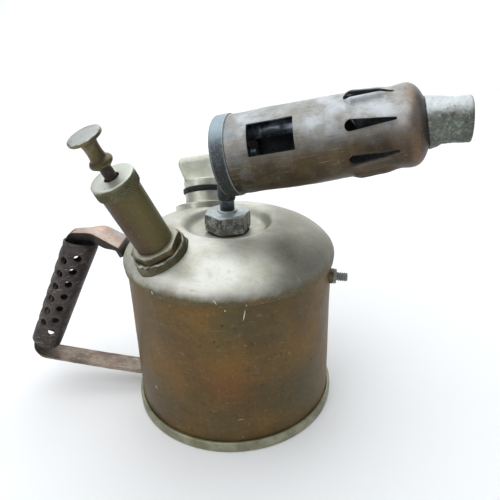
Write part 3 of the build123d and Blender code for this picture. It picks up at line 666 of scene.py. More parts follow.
# turning marks: fine along the axis, drawn out across it
TURN_PUMP = (PUMP.x * 0.08, PUMP.y * 0.08, PUMP.z)
TURN_FILL = (FILLER.x * 0.08, FILLER.y * 0.08, FILLER.z)
tank_brass = tank_paint()
dome_brass = dome_paint()
burner_brass = tube_paint()
rim_brass = worn_brass("rim_brass", (158, 158, 134), (134, 130, 106), (212, 211, 194), 11, metallic=0.6)
cast_collar = cast_paint("cast_collar", (70, 78, 84), (92, 103, 110), (150, 166, 174), 0.15, 20, 0.7,
                         painted_light_line=9)
cast_nozzle = cast_paint("cast_nozzle", (92, 92, 84), (116, 118, 108), (206, 211, 212), 0.75, 30,
                         low=(72, 72, 66), metallic=0.65)
# painted highlight on the top face
nut_brass = worn_brass("nut_brass", (122, 121, 112), (70, 66, 56), (204, 214, 216), 40, rough=(0.3, 0.46),
                       metallic=0.5, wear=0.95, streak=0.3, patches=0.5,
                       top=(UP, (0, 0, 0), 124.2, 125.3, (176, 184, 182)))
riser_metal = sooty_pipe("riser_metal", 50)
vapour_metal = sooty_pipe("vaporiser_metal", 55, (72, 78, 84), (156, 170, 182))
# painted highlight on the top face
hex_brass = worn_brass("hex_brass", (104, 93, 64), (78, 68, 46), (190, 188, 168), 60, wear=0.9,
                       top=(PUMP.z, PUMP.o, 9.4, 10.4, (166, 164, 148)))
seat_brass = worn_brass("seat_brass", (96, 92, 66), (74, 70, 48), (196, 194, 174), 62, wear=0.9)
# painted shading: the barrel lighter towards its +x side
pump_brass = worn_brass("pump_brass", (76, 56, 36), (64, 48, 32), (150, 140, 104), 65, TURN_PUMP,
                        (0.34, 0.46), 0.6, wear=0.5, streak=0.1,
                        top=((0.945, 0.13, 0.3), PUMP.o, -6.0, 9.0, (100, 90, 55)))
# painted highlight on the top face
cap_brass = worn_brass("cap_brass", (112, 108, 82), (86, 80, 56), (222, 222, 206), 70, TURN_PUMP,
                       (0.3, 0.42), 0.7, wear=1.0, top=(PUMP.z, PUMP.o, 53.2, 54.1, (208, 210, 198)))
# painted highlight on the top face
knob_brass = worn_brass("knob_brass", (110, 100, 72), (84, 76, 52), (204, 204, 190), 75, TURN_PUMP,
                        (0.3, 0.42), 0.75, wear=0.6, top=(PUMP.z, PUMP.o, 77.9, 78.3, (184, 187, 182)))
filler_brass = worn_brass("filler_brass", (208, 207, 196), (188, 187, 170), (236, 236, 228), 80, TURN_FILL,
                          (0.28, 0.42), 0.8, wear=0.4)
thumb_brass = worn_brass("thumb_brass", (214, 216, 204), (186, 187, 168), (238, 238, 230), 82, TURN_FILL,
                         (0.3, 0.42), 0.5, wear=0.5)
inner_brass = worn_brass("inner_brass", (168, 138, 80), (138, 110, 62), (206, 186, 132), 85)
rod_steel = dark_steel("rod_steel", (84, 76, 66), (58, 52, 46), (150, 142, 130), 90, ((96, 70, 48), 0.5))
stud_steel = dark_steel("stud_steel", (186, 188, 186), (140, 142, 140), (220, 223, 222), 92,
                        ((110, 104, 90), 0.3), metallic=0.4)
strap_steel = dark_steel("strap_steel", (146, 132, 118), (116, 103, 92), (206, 198, 190), 94,
                         ((118, 90, 68), 0.65), (0.4, 0.54), 0.65, stain=tuple(OUT * 138 + UP * 26))
leaf_steel = dark_steel("leaf_steel", (202, 178, 162), (174, 150, 136), (230, 220, 212), 96,
                        ((152, 178, 188), 0.6), (0.34, 0.48), 0.6)
grip_steel = dark_steel("grip_steel", (74, 66, 63), (52, 47, 45), (196, 186, 178), 98,
                        ((92, 72, 64), 0.5), (0.44, 0.6), 0.5, wear=1.0, side=(40, 36, 34))
spring_steel = dark_steel("spring_steel", (130, 130, 128), (100, 100, 98), (190, 190, 188), 99,
                          ((110, 96, 80), 0.2))
washer_rubber = soft_paint("washer_rubber", (34, 34, 34), (22, 22, 23), 0.8, 0.6)
cup_hide = soft_paint("cup_leather", (96, 66, 40), (70, 48, 30), 0.7, 0.65)
fibre = soft_paint("fibre_washer", (60, 48, 40), (44, 36, 30), 0.5, 0.7)
solder = worn_brass("solder", (176, 178, 166), (92, 88, 66), (226, 228, 218), 97, rough=(0.3, 0.45),
                    metallic=0.6)
scratch_metal = worn_brass("scratch_metal", (232, 226, 196), (214, 206, 170), (248, 246, 232), 31,
                           metallic=0.8)

# hidden or half-hidden nodes keep their CAD shape
HIDDEN = [(nut_brass, ["burner_bush"]), (fibre, ["burner_washer"]), (cup_hide, ["cup_leather"]),
          (vapour_metal, ["vaporiser_loop", "jet_block", "jet"]), (spring_steel, ["valve_spring"]),
          (inner_brass, ["dip_tube", "strainer", "rod_guide", "cup_plate", "cup_nut", "valve_body",
                         "valve_pip"])]
for material, nodes in HIDDEN:
    for node in nodes:
        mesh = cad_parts[node].data
        mesh.materials.clear()
        mesh.materials.append(material)


# ================================================================ tank
# shallow knocks in the wall: angle, height, reach, depth
KNOCKS = [(-87, 44, 9, 0.5), (-60, 70, 13, 0.35), (-118, 58, 12, 0.4), (40, 50, 16, 0.6)]


def wall_shape(s, r, a):
    """Gentle sag of the sheet, and the knocks, fading out towards both ends."""
    points = TANK.at(s, TANK_R, a)
    sag = 0.28 * wobble(points, 62, 1) + 0.09 * wobble(points, 19, 2)
    for angle, height, reach, depth in KNOCKS:
        spot = TANK.at(height, TANK_R, math.radians(angle))
        sag = sag - depth * np.exp(-((points - spot) ** 2).sum(-1) / reach ** 2)
    fade = ramp(s, 2, 12) * ramp(s, 100, 92)
    return s, r + (sag - 0.15) * fade


WALL_LOW, WALL_HIGH, WALL_T = 1.8, 100.6, 1.0
wall_outline = np.vstack([spaced([(WALL_LOW, TANK_R), (WALL_HIGH, TANK_R)], 1.6),
                          [(WALL_HIGH, TANK_R - WALL_T), (WALL_LOW, TANK_R - WALL_T)]])
turned("tank_wall", TANK, wall_outline, tank_brass, 280, wall_shape, replaces="tank_side", slot="tank_brass")

rim_outline = path((0.0, 62.2), (0.0, RIM_R, 1.9), (RIM_H, RIM_R, 2.4), (RIM_H, 62.05, 0.5), (5.4, 61.9),
                   (4.85, 60.0, 0.6), (4.85, 0.5), (3.85, 0.5), (3.85, 58.6, 0.8), (1.6, 60.9, 0.8),
                   (0.0, 61.0, 0.6), steps=7)


def rim_shape(s, r, a):
    return s, r + np.where(r > 61, 0.07 * wobble(TANK.at(s, r, a), 26, 8), 0)


turned("foot_rim", TANK, rim_outline, rim_brass, 280, rim_shape, replaces="tank_bottom", slot="tank_brass")

skin = spaced(np.vstack([curve(CROWN, 5), curve([CROWN[-1]] + CUP, 5)[1:]])[:, ::-1], 0.9)
crown_outline = np.vstack([
    path((SKIRT_Z, 62.05), (SKIRT_Z, 63.15, 0.35), (98.2, 63.25))[1:],
    skin,
    spaced([(CUP_FLOOR, 20.0), (CUP_FLOOR, 9.6)], 1.5)[1:],
    [(112.5, 9.6), (112.5, 20.5), (113.4, 24.0), (118.4, 28.4), (118.2, 32.5), (114.6, 45.5), (108.8, 56.5),
     (103.0, 61.6), (99.0, 62.1)]])


def crown_shape(s, r, a):
    points = TANK.at(s, r, a)
    dome = ramp(r, 21, 30)
    s = s + 0.28 * wobble(points, 44, 5) * dome * ramp(s, 99, 106)
    skirt = ramp(s, 106, 100)
    r = r + skirt * (0.1 * wobble(points, 24, 6) - 0.05)
    # a little hammering round the shoulder
    r = r + 0.1 * wobble(points, 11, 7) * ramp(s, 99, 102) * ramp(s, 110, 104)
    return s, r


turned("top_shell", TANK, crown_outline, dome_brass, 300, crown_shape, replaces="tank_top", slot="dome_brass")


SCRATCH_DEPTH = (0.05, -0.15)   # outside and inside of a sliver, from the wall's face


def scratch(points, width):
    """Flat sliver along a few (angle, height) points on the tank's wall, ends tapered."""
    line = spaced(np.array([TANK.at(h, 1, math.radians(t)) for t, h in points]), 0.08)
    angle, height = np.unwrap(np.arctan2(line[:, 1], line[:, 0])), line[:, 2]
    n = len(line)
    verts, faces = [], []
    for i in range(n):
        half = width / 2 * math.sin(math.pi * min(max(i / (n - 1), 0.02), 0.98)) ** 0.6
        base = wall_radius(height[i], angle[i])
        after, before = min(i + 1, n - 1), max(i - 1, 0)
        side = unit([height[after] - height[before], (angle[before] - angle[after]) * TANK_R]) * half
        for sign in (-1, 1):
            for depth in SCRATCH_DEPTH:
                verts.append(TANK.at(height[i] + sign * side[1], base + depth,
                                     angle[i] + sign * side[0] / TANK_R))
    for i in range(n - 1):
        a, b = i * 4, i * 4 + 4
        for k, m in ((0, 2), (2, 3), (3, 1), (1, 0)):
            faces.append((a + k, a + m, b + m, b + k))
    faces += [(0, 1, 3, 2), (n * 4 - 4, n * 4 - 2, n * 4 - 1, n * 4 - 3)]
    return verts, faces


def wall_radius(height, angle):
    if height > SKIRT_Z:
        line = curve([(62.6, 96.0), (63.2, SKIRT_Z)] + CROWN[:4], 6)
        return float(np.interp(height, line[:, 1], line[:, 0]))
    _, radius = wall_shape(np.array([float(height)]), np.array([TANK_R]), np.array([float(angle)]))
    return float(radius[0])


# (angle, height) points and width of each
SCRATCHES = [(((-66.6, 94.2), (-67.7, 88.2)), 0.42), (((-80.9, 101.6), (-79.6, 99.2)), 0.4),
             (((-76.1, 95.0), (-76.0, 94.2)), 0.5), (((-66.3, 98.6), (-65.8, 97.4), (-66.6, 97.2)), 0.25),
             (((-113.5, 100.6), (-113.4, 98.6)), 0.45), (((-123.4, 32.0), (-121.6, 30.0)), 0.25),
             (((-121.8, 32.0), (-123.2, 30.2)), 0.22), (((-72.6, 22.4), (-69.6, 22.6)), 0.2),
             (((-70.2, 9.4), (-69.8, 8.8)), 0.4), (((-44.0, 60.0), (-43.0, 61.0)), 0.1),
             (((20.0, 64.0), (31.0, 58.0)), 0.2), (((120.0, 40.0), (127.0, 49.0)), 0.2),
             (((160.0, 72.0), (166.0, 70.0)), 0.25), (((70.0, 84.0), (72.0, 76.0)), 0.18)]
verts, faces = [], []
for points, width in SCRATCHES:
    some_verts, some_faces = scratch(points, width)
    faces += [tuple(i + len(verts) for i in f) for f in some_faces]
    verts += some_verts
make("wall_scratches", verts, faces, scratch_metal, slot="tank_brass")


# ================================================================ nuts and turned parts
def hexagon(angle, across, turn):
    """Radius of a hexagon's outline at an angle; corners lie at turn and every 60 degrees."""
    half = np.mod(angle - math.radians(turn), math.pi / 3) - math.pi / 6
    return across / 2 / np.cos(half)


HEX_CHAMFER, HEX_CORE, HEX_CORNER = math.radians(28), 0.975, 1.138     # slope; shares of half the width


def nut(name, axes, across, s0, s1, bore, turn, material, extra=(), **more):
    """Hexagon nut, chamfered on top, with optional turned outline points on its top face."""
    core = across / 2 * HEX_CORE
    rows = ([("ring", s0, bore), ("ring", s0, core - 0.3), ("hex", s0, -0.25)]
            + [("side", t, 0) for t in np.linspace(0, 1, 12)]
            + [("ring", s1, core), ("ring", s1, core - 0.8)] + [("ring", s, r) for s, r in extra]
            + [("ring", extra[-1][0] if len(extra) else s1, bore)])
    turns = 240
    a = full_turn(turns)
    out = np.minimum(hexagon(a, across, turn), across / 2 * HEX_CORNER)
    top = s1 - np.maximum(out - core, 0) * math.tan(HEX_CHAMFER)
    s, r = [], []
    for kind, u, v in rows:
        s.append(s0 + 0.3 + (top - s0 - 0.3) * u if kind == "side" else np.full(turns, u))
        r.append(np.full(turns, v) if kind == "ring" else out + v)
    s, r = np.array(s), np.array(r)
    points = axes.at(s, r, a[None, :])
    r = r + 0.05 * wobble(points, 3.0, 3) * (r > bore + 0.5)
    verts = axes.at(s, r, a[None, :]).reshape(-1, 3)
    return make(name, verts, ring_faces(len(rows), turns, True), material, crease=30, **more)


# width across flats, and the stations of both faces
BURNER_FLATS, BURNER_NUT = 24.2, (114.7, 125.5)
PUMP_FLATS, PUMP_NUT = 25.1, (5.8, 10.5)
RISER_R, RISER_BORE, RISER_LOW, RISER_HIGH = 4.3, 2.7, 104, 139
BARREL_R, BARREL_IN, BARREL_LOW, BARREL_HIGH = 10.3, 9.5, -72, 52.5
BARREL_HOLE = BARREL_R + 0.04   # radius of the holes that the barrel passes through

nut("burner_nut", TANK, BURNER_FLATS, *BURNER_NUT, RISER_R + 0.02, 27, nut_brass,
    extra=path((125.5, 6.2), (125.6, 5.9), (126.7, 5.9, 0.7), (126.7, 4.5)), replaces="riser_nut",
    slot="nut_brass")
riser_outline = path((RISER_LOW, RISER_BORE), (RISER_LOW, RISER_R), (RISER_HIGH, RISER_R),
                     (RISER_HIGH, RISER_BORE))
turned("riser", TANK, riser_outline, riser_metal, 64, replaces="riser_tube", slot="riser_metal")
nut("pump_nut", PUMP, PUMP_FLATS, *PUMP_NUT, BARREL_R + 0.03, 2, hex_brass, replaces="pump_hex",
    slot="hex_brass")

BOSS_R, BOSS_FOOT = 15.4, 16.9
boss_outline = np.vstack([
    path((-14, BARREL_HOLE), (5.7, BARREL_HOLE), (5.7, 13.6, 0.3), (5.2, 13.8, 0.2), (5.2, 15.2, 0.7),
         (2.8, 15.2), (0.7, 15.25)),
    spaced([(0.4, BOSS_R), (-0.6, BOSS_FOOT)], 0.3), [(-6, BOSS_FOOT), (-14, 14.0)]])


def boss_shape(s, r, a):
    """Its lower rows meet the crown in a soft fillet."""
    rim = PUMP.at(0.0, BOSS_FOOT, a)
    for _ in range(4):
        gap = crown_height(np.hypot(rim[..., 0], rim[..., 1])) - rim[..., 2]
        rim = rim + PUMP.z * (gap / PUMP.z[2])[..., None]
    foot = (rim - PUMP.o) @ PUMP.z - 0.15
    share = np.clip((r - BOSS_R) / (BOSS_FOOT - BOSS_R), 0, 1) * (s < 0.5)
    lumps = 0.12 * wobble(PUMP.at(s, r, a), 5, 14) * (r > 13.5)
    return np.where(s < -2, s, s + (foot - s) * share ** 1.6), r + lumps


turned("pump_seat", PUMP, boss_outline, seat_brass, 200, boss_shape, replaces="pump_boss", slot="dome_brass")

SOLDER_S, SOLDER_R, SOLDER_HIGH, SOLDER_WIDE = 5.5, 14.2, 0.55, 0.7
solder_ring = [(SOLDER_S + SOLDER_HIGH * math.sin(t), SOLDER_R + SOLDER_WIDE * math.cos(t))
               for t in np.linspace(0, 2 * math.pi, 14)[:-1]]


def solder_shape(s, r, a):
    points = PUMP.at(s, r, a)
    return s + 0.1 * wobble(points, 2.6, 16), r + 0.45 * wobble(points, 3.4, 15)


turned("pump_solder", PUMP, solder_ring, solder, 200, solder_shape, slot="dome_brass")
barrel_outline = np.vstack([spaced([(BARREL_LOW, BARREL_R), (BARREL_HIGH, BARREL_R)], 3.0),
                            spaced([(BARREL_HIGH, BARREL_IN), (BARREL_LOW, BARREL_IN)], 8.0)])
turned("barrel", PUMP, barrel_outline, pump_brass, 120, replaces="pump_barrel", slot="pump_brass")

# knurled cap
KNURL, KNURL_R, KNURL_DEPTH = 46, 11.25, 0.66
cap_outline = np.vstack([
    path((52.6, 3.9), (54.2, 3.9, 0.3), (54.2, 11.4, 0.9), (52.2, 11.4)), [(52.0, 11.15)],
    spaced([(51.9, KNURL_R), (47.1, KNURL_R)], 0.22),
    [(46.9, 11.1), (46.6, 10.8), (46.6, BARREL_HOLE), (52.6, BARREL_HOLE)]])


def knurl(s, r, a):
    cut_here = ramp(s, 46.95, 47.4) * ramp(s, 52.0, 51.5) * (np.abs(r - KNURL_R) < 0.05)
    pitch = 2 * math.pi * (KNURL_R + 0.05) / KNURL
    one = np.abs(np.sin(a * KNURL / 2 + s * math.pi / pitch * 0.8))
    two = np.abs(np.sin(a * KNURL / 2 - s * math.pi / pitch * 0.8))
    return s, r + cut_here * KNURL_DEPTH * (one * two - 0.5)


turned("cap", PUMP, cap_outline, cap_brass, 464, knurl, replaces="pump_cap", slot="cap_brass", crease=60)
turned("rod", PUMP, path((-59.5, 0), (-59.5, 3.0, 0.4), (61.4, 3.0), (61.4, 0)), rod_steel, 48, closed=False,
       body="pump_plunger", replaces="pump_rod", slot="rod_steel")
knob_outline = np.vstack([
    [(61.0, 0.0)], path((61.0, 2.9), (61.0, 4.3, 0.3), (61.6, 4.8)),
    curve([(61.6, 4.8), (62.4, 5.7), (63.5, 5.95), (64.7, 5.3), (65.7, 4.2), (68.2, 3.75), (72.0, 3.8),
           (74.6, 4.4), (76.0, 5.7)], 6)[1:],
    path((76.0, 5.9), (76.3, 7.9), (76.6, 8.45, 0.3), (78.0, 8.45, 0.35), (78.25, 7.6, 0.6), (78.4, 3.0)),
    [(78.3, 0.0)]])
turned("knob", PUMP, knob_outline, knob_brass, 128, closed=False, body="pump_plunger", replaces="pump_knob",
       slot="knob_brass")

# ================================================================ filler
NECK_TOP, WASHER_T = 7.2, 3.4
neck_outline = np.vstack([
    path((-12, 10.05), (NECK_TOP, 10.05), (NECK_TOP, 12.8, 0.35), (1.6, 12.8), (0.0, 13.1), (-0.7, 14.0, 0.8),
         (-0.75, 19.4), (-1.1, 20.0, 0.3), (-1.6, 20.05)),
    [(-9, 19.0), (-12, 15.0)]])


def neck_shape(s, r, a):
    return s, r + 0.06 * wobble(FILLER.at(s, r, a), 8, 21) * (r > 12)


def seal_shape(s, r, a):
    return s, r + 0.12 * wobble(FILLER.at(s, r, a), 9, 5) * (r > 12)


turned("filler_seat", FILLER, neck_outline, filler_brass, 180, neck_shape, replaces="filler_neck",
       slot="filler_brass")
seal_outline = path((7.3, 10.3), (7.3, 13.8, 0.6), (10.6, 13.8, 0.6), (10.6, 10.3))
turned("seal", FILLER, seal_outline, washer_rubber, 120, seal_shape, body="filler_seal",
       replaces="filler_washer", slot="filler_rubber")

CAP_BASE = NECK_TOP + 0.1 + WASHER_T
# station above the cap's base, half length and half thickness of the thumb piece
THUMB = [(5.2, 12.3, 4.9), (8.0, 12.9, 4.4), (11.5, 14.2, 3.95), (15.0, 15.4, 3.75), (16.6, 15.5, 3.7),
         (18.2, 14.9, 3.4), (19.4, 14.0, 2.95), (20.0, 12.9, 2.3)]
THUMB_TOP, THUMB_LIFT, THUMB_SLANT = 20.0, 2.3, 1.1


def squared(angle, half_x, half_y, power):
    """Radius of a rectangle with soft corners at an angle."""
    x, y = np.abs(np.cos(angle)) / half_x, np.abs(np.sin(angle)) / half_y
    return (x ** power + y ** power) ** (-1 / power)


def thumb_piece():
    """Flat-sided piece flared upwards, standing on a round collar with a hollow plug below."""
    turns = 144
    a = full_turn(turns)
    round_rows = [(0.9, 0.0), (0.9, 7.6)]
    round_rows += list(path((-11, 7.6), (-11, 9.7, 0.8), (-0.05, 9.7), (-0.05, 13.0, 0.4), (4.9, 13.0, 0.9),
                            (5.5, 10.8)))
    s = [u for u, _ in round_rows]
    r = [np.full(turns, v) for _, v in round_rows]
    line = curve(THUMB, 8)
    for u in list(np.linspace(5.5, 19.4, 30)) + [19.8, THUMB_TOP]:
        long_half = np.interp(u, line[:, 0], line[:, 1])
        thick_half = np.interp(u, line[:, 0], line[:, 2])
        box = np.minimum(long_half / np.maximum(np.abs(np.cos(a)), 1e-6),
                         thick_half / np.maximum(np.abs(np.sin(a)), 1e-6))
        s.append(u)
        r.append(np.minimum(box, squared(a, long_half, thick_half, 5) + 0.08))
    s = CAP_BASE + np.repeat(np.array(s + [THUMB_TOP])[:, None], turns, axis=1)
    r = np.array(r + [np.zeros(turns)])
    # the head stands a little higher at its right end
    s = s + ramp(s, CAP_BASE + 8, CAP_BASE + THUMB_TOP) * (THUMB_LIFT + THUMB_SLANT * r * np.cos(a) / 15)
    verts = FILLER.at(s, r, a[None, :]).reshape(-1, 3)
    return make("filler_thumb_cap", verts, ring_faces(len(s), turns, False), thumb_brass, body="filler_plug",
                replaces="filler_cap", slot="filler_brass", crease=34)


thumb_piece()

# ================================================================ flame tube
PROFILE = np.vstack([curve(TUBE, 12), path((107.2, 13.6), (107.85, 12.9, 0.5), (107.6, 12.5))[1:]])
PROFILE = spaced(PROFILE, 0.55)
PROFILE_AT = np.arange(len(PROFILE))
SLOTS, SLOT_FIRST, SLOT_REAR, SLOT_FRONT, SLOT_R, SLOT_TIP = 8, math.radians(21.5), 72.7, 93.6, 2.75, 0.75
SLOT_AT_R, WINDOW_AT_R, MEAN_R = 20.9, 22.1, 21.0
LIP, LIP_MORE, LIP_REACH = 1.5, 1.2, 2.6    # raised rim of the slots; the topmost one has more
WINDOW, WINDOW_ANGLE, WINDOW_W, WINDOW_CORNER = (20.3, 44.9), math.radians(62), 17.4, 0.4
TUBE_SHEET, TUBE_TURNS = 0.95, 264


def arc_gap(v, centre, radius):
    """Distance round the tube from a centre line, within half a turn."""
    return (np.mod(v - centre + math.pi, 2 * math.pi) - math.pi) * radius


def teardrop(x, y):
    """Signed distance to a teardrop with its round end at x 0 and its tip ahead; positive outside."""
    length = SLOT_FRONT - SLOT_REAR
    b = (SLOT_R - SLOT_TIP) / length
    a = math.sqrt(1 - b * b)
    y = np.abs(y)
    k = -b * y + a * x
    side = a * y + b * x - SLOT_R
    near, far = np.hypot(x, y) - SLOT_R, np.hypot(x - length, y) - SLOT_TIP
    return np.where(k < 0, near, np.where(k > a * length, far, side))


def slot_distance(s, v):
    best = np.full(np.shape(s), 99.0)
    for k in range(SLOTS):
        y = arc_gap(v, SLOT_FIRST + 2 * math.pi * k / SLOTS, SLOT_AT_R)
        best = np.minimum(best, teardrop(s - SLOT_REAR, y))
    return best


def window_distance(s, v):
    x = np.abs(s - sum(WINDOW) / 2) - (WINDOW[1] - WINDOW[0]) / 2 + WINDOW_CORNER
    y = np.abs(arc_gap(v, WINDOW_ANGLE, WINDOW_AT_R)) - WINDOW_W / 2 * 1.02 + WINDOW_CORNER
    return np.hypot(np.maximum(x, 0), np.maximum(y, 0)) + np.minimum(np.maximum(x, y), 0) - WINDOW_CORNER


def tube_gap(u, v):
    s = np.interp(u, PROFILE_AT, PROFILE[:, 0])
    return np.minimum(slot_distance(s, v), window_distance(s, v))


def tube_place(u, v, depth):
    s = np.interp(u, PROFILE_AT, PROFILE[:, 0])
    r = np.interp(u, PROFILE_AT, PROFILE[:, 1])
    slope = np.gradient(PROFILE, axis=0)
    ds, dr = np.interp(u, PROFILE_AT, slope[:, 0]), np.interp(u, PROFILE_AT, slope[:, 1])
    size = np.hypot(ds, dr)
    # the pierced edges stand proud of the tube
    away = np.maximum(slot_distance(s, v), 0)
    topmost = np.exp(-(arc_gap(v, SLOT_FIRST, SLOT_AT_R) / 7.0) ** 2)
    lip = (LIP + LIP_MORE * topmost) * np.exp(-(away / LIP_REACH) ** 2) * ramp(s, 68.5, 74) * ramp(s, 95, 86)
    window_lip = 0.15 * np.exp(-(np.maximum(window_distance(s, v), 0) / 1.6) ** 2)
    points = BURNER.at(s, MEAN_R, v)
    uneven = 0.16 * wobble(points, 30, 31) + 0.06 * wobble(points, 11, 32)
    uneven = uneven * ramp(s, 9, 16) * ramp(s, 107, 100)
    return BURNER.at(s + depth * dr / size, r - depth * ds / size + lip + window_lip + uneven, v)


pierced("flame_tube_shell", PROFILE_AT, full_turn(TUBE_TURNS), tube_gap, tube_place, TUBE_SHEET, burner_brass,
        replaces="flame_tube", slot="burner_brass", crease=44)


# ================================================================ castings
def ring_part(outline, turns=120):
    outline = np.asarray(outline, float)
    verts = BURNER.at(outline[:, :1], outline[:, 1:2], full_turn(turns)[None, :]).reshape(-1, 3)
    return verts, ring_faces(len(outline), turns, True)


def web_block(s0, s1, half_height, half_width):
    """Web across the ring, between two stations of the burner's axis."""
    corners = []
    for s in (s0, s1):
        for u, v in ((-1, -1), (1, -1), (1, 1), (-1, 1)):
            corners.append(BURNER.o + BURNER.z * s + BURNER.x * u * half_height + BURNER.y * v * half_width)
    return corners, [(0, 3, 2, 1), (4, 5, 6, 7), (0, 1, 5, 4), (1, 2, 6, 5), (2, 3, 7, 6), (3, 0, 4, 7)]


def foot_part(turns=48):
    """Upright stub of the casting, round below and spreading up into the ring."""
    rows = curve([(132.4, 0.1, 4.9, 4.9), (134.5, 0.0, 5.3, 5.2), (138.0, 0.6, 6.0, 5.6),
                  (142.0, 2.2, 7.4, 6.2), (147.0, 2.6, 7.6, 6.6)], 5)
    verts = []
    for z, x, half_x, half_y in rows:
        verts += [(x + half_x * math.cos(t), half_y * math.sin(t), z) for t in full_turn(turns)]
    verts += [(rows[0][1], 0, rows[0][0]), (rows[-1][1], 0, rows[-1][0])]
    faces = ring_faces(len(rows), turns, False)
    last = (len(rows) - 1) * turns
    for k in range(turns):
        n = (k + 1) % turns
        faces.append((len(verts) - 2, n, k))
        faces.append((len(verts) - 1, last + k, last + n))
    return verts, faces


def fused(obj, voxel, smooth):
    """Makes one skin of a piece's overlapping closed parts, with soft inside corners."""
    remesh = obj.modifiers.new("fuse", "REMESH")
    remesh.mode = "VOXEL"
    remesh.voxel_size = voxel * MM
    remesh.use_smooth_shade = True
    soften = obj.modifiers.new("soften", "SMOOTH")
    soften.iterations = smooth
    soften.factor = 0.5
    graph = bpy.context.evaluated_depsgraph_get()
    done = bpy.data.meshes.new_from_object(obj.evaluated_get(graph))
    obj.modifiers.clear()
    obj.data = done


def wear_after(obj):
    """The wear mask again, for a mesh that was rebuilt."""
    bm = bmesh.new()
    bm.from_mesh(obj.data)
    layer = bm.verts.layers.float.get("wear") or bm.verts.layers.float.new("wear")
    bend = {}
    for v in bm.verts:
        angles = [e.calc_face_angle_signed(0.0) for e in v.link_edges if len(e.link_faces) == 2]
        bend[v] = math.degrees(sum(angles) / max(len(angles), 1))
    for v in bm.verts:
        v[layer] = min(1.0, max(0.0, bend[v] - 4.0) / 9.0)
    for f in bm.faces:
        f.smooth = True
    bm.to_mesh(obj.data)
    bm.free()


def collar_casting():
    ring = ring_part(path((-1.0, 19.4), (-1.0, 21.6), (0.2, 22.9), (7.8, 22.9), (7.8, 21.0), (15.0, 21.0),
                          (15.0, 19.4)))
    hub = ring_part(path((-1.4, 0.01), (-1.4, 7.3), (5.0, 7.3), (5.0, 0.01)), 64)
    verts, faces = [], []
    for some_verts, some_faces in (ring, web_block(-1.0, 4.6, 20.2, 4.4), hub, foot_part()):
        faces += [tuple(i + len(verts) for i in f) for f in some_faces]
        verts += list(some_verts)
    collar = make("collar_casting", verts, faces, cast_collar, replaces="burner_collar", slot="cast_collar")
    fused(collar, 0.4, 5)
    wear_after(collar)


collar_casting()

# station of the nozzle's bend, its length and its angle
BEND, BEND_LONG, DROOP = 113.5, 5.0, math.radians(6.8)


def droop(points):
    """Bends what lies beyond a station of the burner's axis downwards."""
    rel = points - BURNER.o
    s, u, w = rel @ BURNER.z, rel @ BURNER.x, rel @ BURNER.y
    first, last = BEND - BEND_LONG / 2, BEND + BEND_LONG / 2
    t = np.clip((s - first) / BEND_LONG, 0, 1)
    angle = DROOP * t * t * (3 - 2 * t)
    # centre line: integrate the turning direction over the bend
    steps = np.linspace(0, 1, 60)
    turn = DROOP * steps ** 2 * (3 - 2 * steps)
    along = np.concatenate([[0], np.cumsum(np.cos(turn[:-1])) * BEND_LONG / 59])
    down = np.concatenate([[0], np.cumsum(np.sin(turn[:-1])) * BEND_LONG / 59])
    over = np.maximum(s - last, 0)
    cs = np.where(s < first, s, first + np.interp(t, steps, along) + over * math.cos(DROOP))
    cd = np.interp(t, steps, down) * (t > 0) + over * math.sin(DROOP)
    out_s, out_u = cs + u * np.sin(angle), u * np.cos(angle) - cd
    return BURNER.o + out_s[:, None] * BURNER.z + out_u[:, None] * BURNER.x + w[:, None] * BURNER.y


NOZZLE_END = 128.6
nozzle_outline = spaced(
    path((103.0, 10.3), (103.0, 12.3), (107.5, 12.3), (108.2, 13.3, 0.6), (110.5, 12.8, 2.0),
         (115.0, 11.65, 6.0), (120.5, 11.1, 9.0), (NOZZLE_END, 11.35, 3.2), (NOZZLE_END, 8.6, 0.9),
         (120.0, 8.6), (103.0, 10.3)), 0.45)


def nozzle_shape(s, r, a):
    points = BURNER.at(s, r, a)
    rough = 0.16 * wobble(points, 9, 41) + 0.09 * wobble(points, 3.4, 42) + 0.05 * wobble(points, 1.7, 43)
    return s, r + rough * (r > 9.5) * ramp(s, 107.6, 109)


turned("nozzle_casting", BURNER, nozzle_outline, cast_nozzle, 200, nozzle_shape, bend=droop,
       replaces="nozzle", slot="cast_nozzle", crease=50)

# ================================================================ handle
# upper and lower end of the grip: distance from the tank's axis, height
G0, G1 = np.array([92.8, 104.3]), np.array([130.1, 30.8])
GRIP_DOWN = unit(G1 - G0)
GRIP_SIDE = np.array([-GRIP_DOWN[1], GRIP_DOWN[0]])
GRIP_LONG = float(np.linalg.norm(G1 - G0))
strap_line = spaced(path((64.0, 99.4), (66.2, 104.6, 1.0), (79.5, 112.7, 12.0), (97.9, 112.2, 6.0),
                         (139.8, 23.9, 8.0), (94.6, 15.7, 8.0), (62.7, 10.6, 2.2), (62.7, 21.0),
                         steps=14), 0.8)
# distance from the tank's axis and half width of the leaf
LEAF = [(60.0, 9.2), (66.0, 9.7), (72.0, 9.4), (77.0, 9.4), (80.0, 8.5), (82.3, 6.5), (84.5, 5.2),
        (88.0, 4.6), (95.0, 4.0)]
LEAF_END = 66.5         # inside this distance from the tank's axis the end of the leaf turns down
STRAP_T, LEG_HALF, STRAP_HALF = 1.3, 4.0, 7.9
LIP_T, LIP_LEAST, BEVEL = 1.3, STRAP_T + 1.4, 0.32


